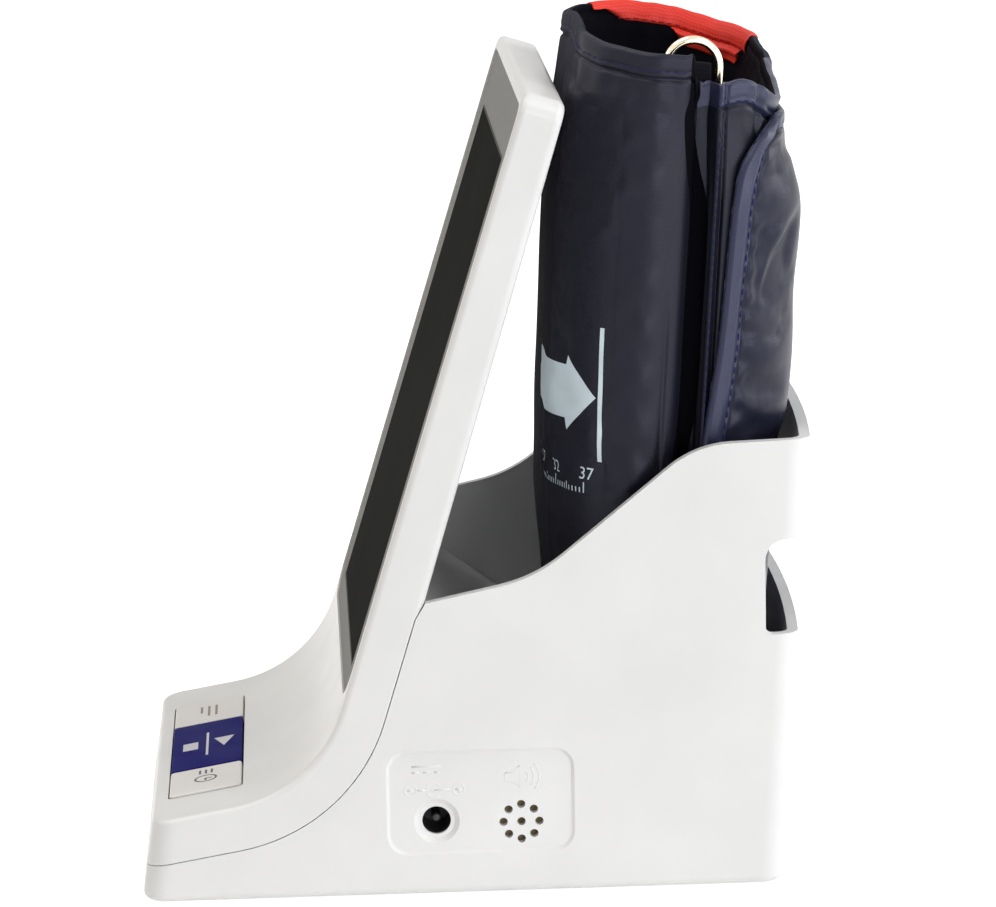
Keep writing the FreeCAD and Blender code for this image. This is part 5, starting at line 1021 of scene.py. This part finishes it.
def red_lining():
    """Red edge of the lining, turned over the far rim, with a seam and a narrower band below it."""
    shares = [k / RED_STEPS for k in range(RED_STEPS + 1)]
    first, last = far_s(46.9, 136), far_s(8.8, 138)
    band = []
    for share in shares:
        s = first + (last - first) * share
        slant = smoothstep(0.78, 1.0, share)
        height = RED_BAND * (1 - 0.93 * slant) + 0.25 * noise.noise(Vector((s * 0.1, 7.0, 1.0)))
        wavy = 0.30 + 0.28 * noise.noise(Vector((s * 0.19, 2.2, 8.0)))
        turn = math.radians(18 + 14 * noise.noise(Vector((s * 0.14, 1.2, 3.0))))
        column = [over_rim(s, turn + (math.pi * 0.93 - turn) * j / 7, wavy) for j in range(8)]
        top = rim_height(s) - RIM_RADIUS
        for j in range(1, 10):
            drop = max(0.2, height - RIM_RADIUS) * j / 9
            puff = 0.45 * math.sin(math.pi * j / 9) - 0.40 * (j == 9)
            column.append(inside_point(s, top - drop, 0.55 + puff))
        band.append(column)
    first, last = far_s(45.6, 134), far_s(28.4, 134)
    step = []
    for share in shares:
        s = first + (last - first) * share
        seam = rim_height(s) - RED_BAND + 0.5
        ends = smoothstep(-0.02, 0.03, share) * (1 - 0.9 * smoothstep(0.80, 1.0, share) ** 1.5)
        step.append([inside_point(s, seam - 0.3 - (RED_STEP + 0.4) * ends * j / 8,
                                  0.75 + 0.40 * math.sin(math.pi * j / 8)) for j in range(9)])
    piece = strip("cuff_red_lining", [rows_of(band), rows_of(step)], LINING, 0.3)
    seam_line = [far_s(46.5 + (13.0 - 46.5) * k / 120, 136) for k in range(121)]
    stitches("red_seam_stitches", [(s, rim_height(s) - RED_BAND + 0.9) for s in seam_line],
             lambda s, up: inner_lift(s, up) - 1.25, THREAD_RED,
             length=1.3, gap=0.6, radius=0.14, inward=True)
    return piece


LINING_FOOT = 70.0            # the inner lining is shown from here to the rim


def inner_lining():
    """Black lining on the inside of the roll, with loose folds, that the red band is sewn to."""
    steps, rises = 240, 40
    rows = []
    for j in range(rises + 1):
        row = []
        for k in range(steps + 1):
            s = ROUND * k / steps * 0.999
            top = rim_height(s) - 2.0
            up = LINING_FOOT + (top - LINING_FOOT) * j / rises
            below = top - up
            fold = 0.9 * math.sin(s * 0.21 + 1.1) * smoothstep(1, 14, below)
            fold += 0.8 * noise.noise(Vector((s * 0.09, up * 0.05, 4.4))) * smoothstep(1, 10, below)
            x, y, _, _ = section_point(s, up)
            room = 1 - 0.85 * bell(y, 27, 10) * (x > 0)
            row.append(inside_point(s, up, 0.25 + abs(fold) * room))
        rows.append(row)
    piece = strip("cuff_inner_lining", [rows], CLOTH_INNER, 0.15)
    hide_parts("cuff_lining")
    return piece


BLADDER_FOOT = 14.0
BLADDER_HEIGHT = 90.0
BLADDER_COLUMNS, BLADDER_ROWS = 120, 60


def bladder():
    """Flat rubber bladder between the outer cloth and the lining, round the front half of the roll."""
    last = near_s(25.5, 60)
    rows = []
    for j in range(BLADDER_ROWS + 1):
        up = BLADDER_FOOT + BLADDER_HEIGHT * j / BLADDER_ROWS
        row = []
        for k in range(BLADDER_COLUMNS + 1):
            s = -last + 2 * last * k / BLADDER_COLUMNS
            rounded = min(1.0, min(k, BLADDER_COLUMNS - k) / 4, min(j, BLADDER_ROWS - j) / 3)
            lift = min(-2.9, skin_lift(s, up) - 0.5) - 0.6 * (1 - rounded)
            row.append((cuff_point(s, up, lift), way_out(s, up)))
        rows.append(row)
    piece = strip("cuff_bladder_sheet", [rows], SOFT_RUBBER, 1.5)
    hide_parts("cuff_bladder")
    return piece


RING_Y = 26.6
STRAP_HALF = 3.1              # half the width of the strap through the ring
# the strap's line, as sideways place and height: up inside the roll, over the ring and down into the fold
STRAP_LINE = [(29.6, 96), (29.8, 112), (30.2, 124), (30.9, 131), (31.9, 134.6), (33.2, 135.9), (34.7, 135.2),
              (35.8, 132.4), (36.5, 128), (36.8, 120), (36.9, 108), (36.9, 90)]
STRAP_STEPS, STRAP_ACROSS = 90, 12


def smooth_at(points, t):
    """Place at t on the smooth curve through points, which passes point i at t = i."""
    i = min(int(t), len(points) - 2)
    f = t - i
    four = points[max(i - 1, 0)], points[i], points[i + 1], points[min(i + 2, len(points) - 1)]
    return [0.5 * (2 * p + (q - a) * f + (2 * a - 5 * p + 4 * q - b) * f * f
                   + (3 * p - a - 3 * q + b) * f ** 3) for a, p, q, b in zip(*four)]


def ring_strap():
    """Webbing that passes through the ring."""
    vertices, uvs = [], []
    run = 0.0
    before = None
    for k in range(STRAP_STEPS + 1):
        x, up = smooth_at(STRAP_LINE, k / STRAP_STEPS * (len(STRAP_LINE) - 1))
        here = Vector((x, up))
        run += (here - before).length if before else 0.0
        before = here
        for j in range(STRAP_ACROSS + 1):
            y = RING_Y + 0.6 + STRAP_HALF * (2 * j / STRAP_ACROSS - 1)
            crown = 0.25 * math.sin(math.pi * j / STRAP_ACROSS)
            vertices.append(on_cuff(x, y, up + crown))
            uvs.append((j / STRAP_ACROSS * 2 * STRAP_HALF * MM, run * MM))
    faces = quad_faces(STRAP_STEPS + 1, STRAP_ACROSS + 1)
    piece = make_piece("ring_strap", vertices, faces, STRAP, "cuff", uvs=uvs)
    solid = piece.modifiers.new("thickness", "SOLIDIFY")
    solid.thickness = 0.9 * MM
    solid.offset = 0
    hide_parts("cuff_ring_loop")
    return piece


# --- prints: plain marks only, laid on the surface that carries them ---
# outlines on the cuff, as distance round the roll and height
ARROW = [(6.0, 59.9), (36.4, 59.9), (36.9, 57.4), (44.8, 65.4), (36.6, 73.4), (36.4, 71.4), (6.0, 71.4)]
INDEX_LINE = [(45.4, 51.8), (46.4, 51.8), (46.1, 80.5), (45.1, 80.5)]
SCALE_START = 12.0
SCALE_FOOT = 44.6
SCALE_LENGTH = 30             # in marks of 1 mm
NUMERAL_HEIGHT = 2.6
CAP_SHARE = 0.70              # height of a numeral in the built-in font, for size 1
PRINT_PROUD = 0.05


def box_outline(x0, y0, x1, y1):
    return [(x0, y0), (x1, y0), (x1, y1), (x0, y1)]


def flat_print(name, outline, fine=0.7):
    """Flat mark in (s, up), cut into small faces and wrapped onto the cloth."""
    work = bmesh.new()
    work.faces.new([work.verts.new((s, up, 0)) for s, up in outline])
    for values, way in zip(zip(*outline), ((1, 0, 0), (0, 1, 0))):
        low, high = min(values), max(values)
        for k in range(1, int((high - low) / fine) + 1):
            at = low + k * fine
            if at < high - 0.01:
                bmesh.ops.bisect_plane(work, geom=work.verts[:] + work.edges[:] + work.faces[:],
                                       plane_co=tuple(c * at for c in way), plane_no=way)
    return wrap_print(name, work)


def wrap_print(name, work):
    work.verts.ensure_lookup_table()
    work.verts.index_update()
    vertices = [on_skin(v.co.x, v.co.y, PRINT_PROUD)[0] for v in work.verts]
    uvs = [(v.co.x * MM, v.co.y * MM) for v in work.verts]
    faces = [tuple(v.index for v in face.verts) for face in work.faces]
    work.free()
    piece = make_piece(name, vertices, faces, PRINT, "cuff", uvs=uvs)
    return piece


def text_mesh(text, height):
    """Numerals as flat faces, their lower left corner at the origin, in mm."""
    curve = bpy.data.curves.new("numeral", "FONT")
    curve.body = text
    curve.size = height / CAP_SHARE
    curve.resolution_u = 3
    holder = bpy.data.objects.new("numeral", curve)
    bpy.context.scene.collection.objects.link(holder)
    mesh = bpy.data.meshes.new_from_object(holder.evaluated_get(bpy.context.evaluated_depsgraph_get()))
    work = bmesh.new()
    work.from_mesh(mesh)
    bpy.data.objects.remove(holder)
    bpy.data.meshes.remove(mesh)
    bpy.data.curves.remove(curve)
    bmesh.ops.subdivide_edges(work, edges=[e for e in work.edges if e.calc_length() > 0.6], cuts=1)
    bmesh.ops.triangulate(work, faces=work.faces[:])
    return work


def cuff_prints():
    """Arrow, index line and a plain scale with numerals."""
    flat_print("print_arrow", ARROW)
    flat_print("print_index_line", INDEX_LINE)
    work = bmesh.new()
    for k in range(SCALE_LENGTH + 1):
        s = SCALE_START + k
        tall = 2.3 if k % 10 == 0 else 1.7 if k % 5 == 0 else 1.1
        mark = box_outline(s, SCALE_FOOT, s + 0.3, SCALE_FOOT + tall)
        work.faces.new([work.verts.new((x, y, 0)) for x, y in mark])
    wrap_print("print_scale", work)
    for k, number in enumerate(("22", "27", "32", "37")):
        work = text_mesh(number, NUMERAL_HEIGHT)
        for vertex in work.verts:
            vertex.co.x += SCALE_START + 10 * k - 1.2
            vertex.co.y += SCALE_FOOT + 3.0
        wrap_print("print_numeral_%s" % number, work)


MARK_PROUD = 0.02
KEY_TOP = 0.5                 # keys above the deck
KEY_MIDDLE = 24.3             # their middle, knee to front
SIDE_KEY_X = 28.05


def key_mark(name, outlines, material, body):
    """Flat marks on a key, given as outlines in (x, forward) on the deck."""
    vertices, faces = [], []
    for outline in outlines:
        start = len(vertices)
        vertices += [on_deck(x, forward, KEY_TOP + MARK_PROUD) for x, forward in outline]
        faces.append(tuple(range(start, start + len(outline))))
    piece = make_piece(name, vertices, faces, material, body, smooth=False,
                       uvs=[(v.x, v.y) for v in vertices])
    return outward(piece)


def bar(x, forward, half_x, half_forward):
    return box_outline(x - half_x, forward - half_forward, x + half_x, forward + half_forward)


def arc_band(x, forward, radius, width, start, end, steps=18):
    """Outlines of a curved stroke, one small quad per step."""
    quads = []
    for k in range(steps):
        a, b = (math.radians(start + (end - start) * (k + j) / steps) for j in (0, 1))
        quads.append([(x + (radius + w) * math.cos(t), forward + (radius + w) * math.sin(t))
                      for t, w in ((a, -width / 2), (b, -width / 2), (b, width / 2), (a, width / 2))])
    return quads


def key_marks():
    """Plain start, stop, list and clock signs on the keys."""
    start_sign = [[(-3.4, KEY_MIDDLE - 6.1), (3.8, KEY_MIDDLE - 3.8), (-3.4, KEY_MIDDLE - 1.5)]]
    stop_sign = [bar(0.2, KEY_MIDDLE + 3.8, 2.9, 1.7)]
    divider = [bar(0, KEY_MIDDLE, 9.2, 0.28)]
    key_mark("start_stop_signs", start_sign + divider + stop_sign, WHITE_INK, "start_key")
    lines = [bar(-SIDE_KEY_X + shift, KEY_MIDDLE + row, half, 0.27)
             for row, half, shift in ((-1.7, 4.2, 0), (0, 4.2, 0), (1.7, 2.6, -1.6))]
    key_mark("set_sign", lines, BROWN_INK, "set_key")
    clock = arc_band(SIDE_KEY_X, KEY_MIDDLE, 2.3, 0.5, 0, 360, 30)
    clock += [bar(SIDE_KEY_X, KEY_MIDDLE - 0.65, 0.25, 0.75), bar(SIDE_KEY_X + 0.7, KEY_MIDDLE, 0.8, 0.25)]
    clock += [bar(SIDE_KEY_X - 5.2, KEY_MIDDLE + row, 1.5, 0.25) for row in (-1.3, 0, 1.3)]
    key_mark("view_sign", clock, GREY_INK, "view_key")


PANEL_PLANE = 53.4
RIB_HALF = 0.24
RIB_RISE = 0.07
RIB_PROFILE = [(-1.0, -0.3), (-0.8, 0.5), (-0.3, 1.0), (0.3, 1.0), (0.8, 0.5), (1.0, -0.3)]


def relief(name, strokes):
    """Raised signs on the side panel, each stroke a rounded rib through (y, z) points."""
    vertices, faces = [], []
    sides = len(RIB_PROFILE)
    for stroke in strokes:
        points = [Vector(p) for p in stroke]
        first = len(vertices)
        for k, point in enumerate(points):
            ahead = points[min(k + 1, len(points) - 1)] - points[max(k - 1, 0)]
            side = Vector((-ahead.y, ahead.x)).normalized()
            for across, rise in RIB_PROFILE:
                spot = point + side * across * RIB_HALF
                vertices.append(place(PANEL_PLANE + rise * RIB_RISE, spot.x, spot.y))
        faces += quad_faces(len(points), sides, first)
        faces.append(tuple(range(first, first + sides)))
        faces.append(tuple(range(len(vertices) - sides, len(vertices))))
    piece = make_piece(name, vertices, faces, CASE_PLASTIC, "case", uvs=[(v.y, v.z) for v in vertices])
    return outward(piece)


def circle(y, z, radius, start=0, end=360, steps=28):
    turns = [math.radians(start + (end - start) * k / steps) for k in range(steps + 1)]
    return [(y + radius * math.cos(turn), z + radius * math.sin(turn)) for turn in turns]


def panel_signs():
    """Direct current and polarity signs over the power jack, loudspeaker sign over the holes."""
    y, z = 61.2, 28.0
    current = [[(y - 3.2, z + 0.8), (y + 3.2, z + 0.8)]]
    current += [[(y + k * 2.35 - 0.75, z - 0.5), (y + k * 2.35 + 0.75, z - 0.5)] for k in (-1, 0, 1)]
    y, z = 62.6, 23.6
    polarity = [circle(y, z, 1.55, 40, 320), circle(y, z, 0.3, 0, 360, 10), [(y, z), (y + 3.9, z)],
                [(y - 1.55, z), (y - 3.6, z)], circle(y + 5.3, z, 1.25), circle(y - 4.9, z, 1.25),
                [(y + 4.6, z), (y + 6.0, z)], [(y + 5.3, z - 0.7), (y + 5.3, z + 0.7)],
                [(y - 5.6, z), (y - 4.2, z)]]
    relief("power_signs", current + polarity)
    y, z = 80.4, 26.0
    horn = [(-2.6, 0.9), (-1.2, 0.9), (0.5, 2.4), (0.5, -2.4), (-1.2, -0.9), (-2.6, -0.9), (-2.6, 0.9)]
    sound = [[(y + back, z + rise) for back, rise in horn]]
    sound += [circle(y + 0.6, z, radius, -42, 42, 14) for radius in (1.7, 2.9, 4.1)]
    relief("loudspeaker_sign", sound)


bpy.context.scene.view_settings.view_transform = "Standard"
make_camera()
make_world()
make_floor()
for lamp in LAMPS:
    area_light(*lamp)
dress_nodes()
simulate_panel("flap", 68.0, FLAP_FAR, 46.0, FLAP_TOP - 3.0, 2.4, 0.035, 0.9, 1.3, flap_pinned)
simulate_panel("roll", 6.0, 60.0, 40.0, 132.0, 2.6, 0.012, 0.5, 0.8, front_pinned)
cuff_roll()
cuff_flap()
all_stitches()
inner_lining()
red_lining()
ring_strap()
bladder()
cuff_prints()
key_marks()
panel_signs()
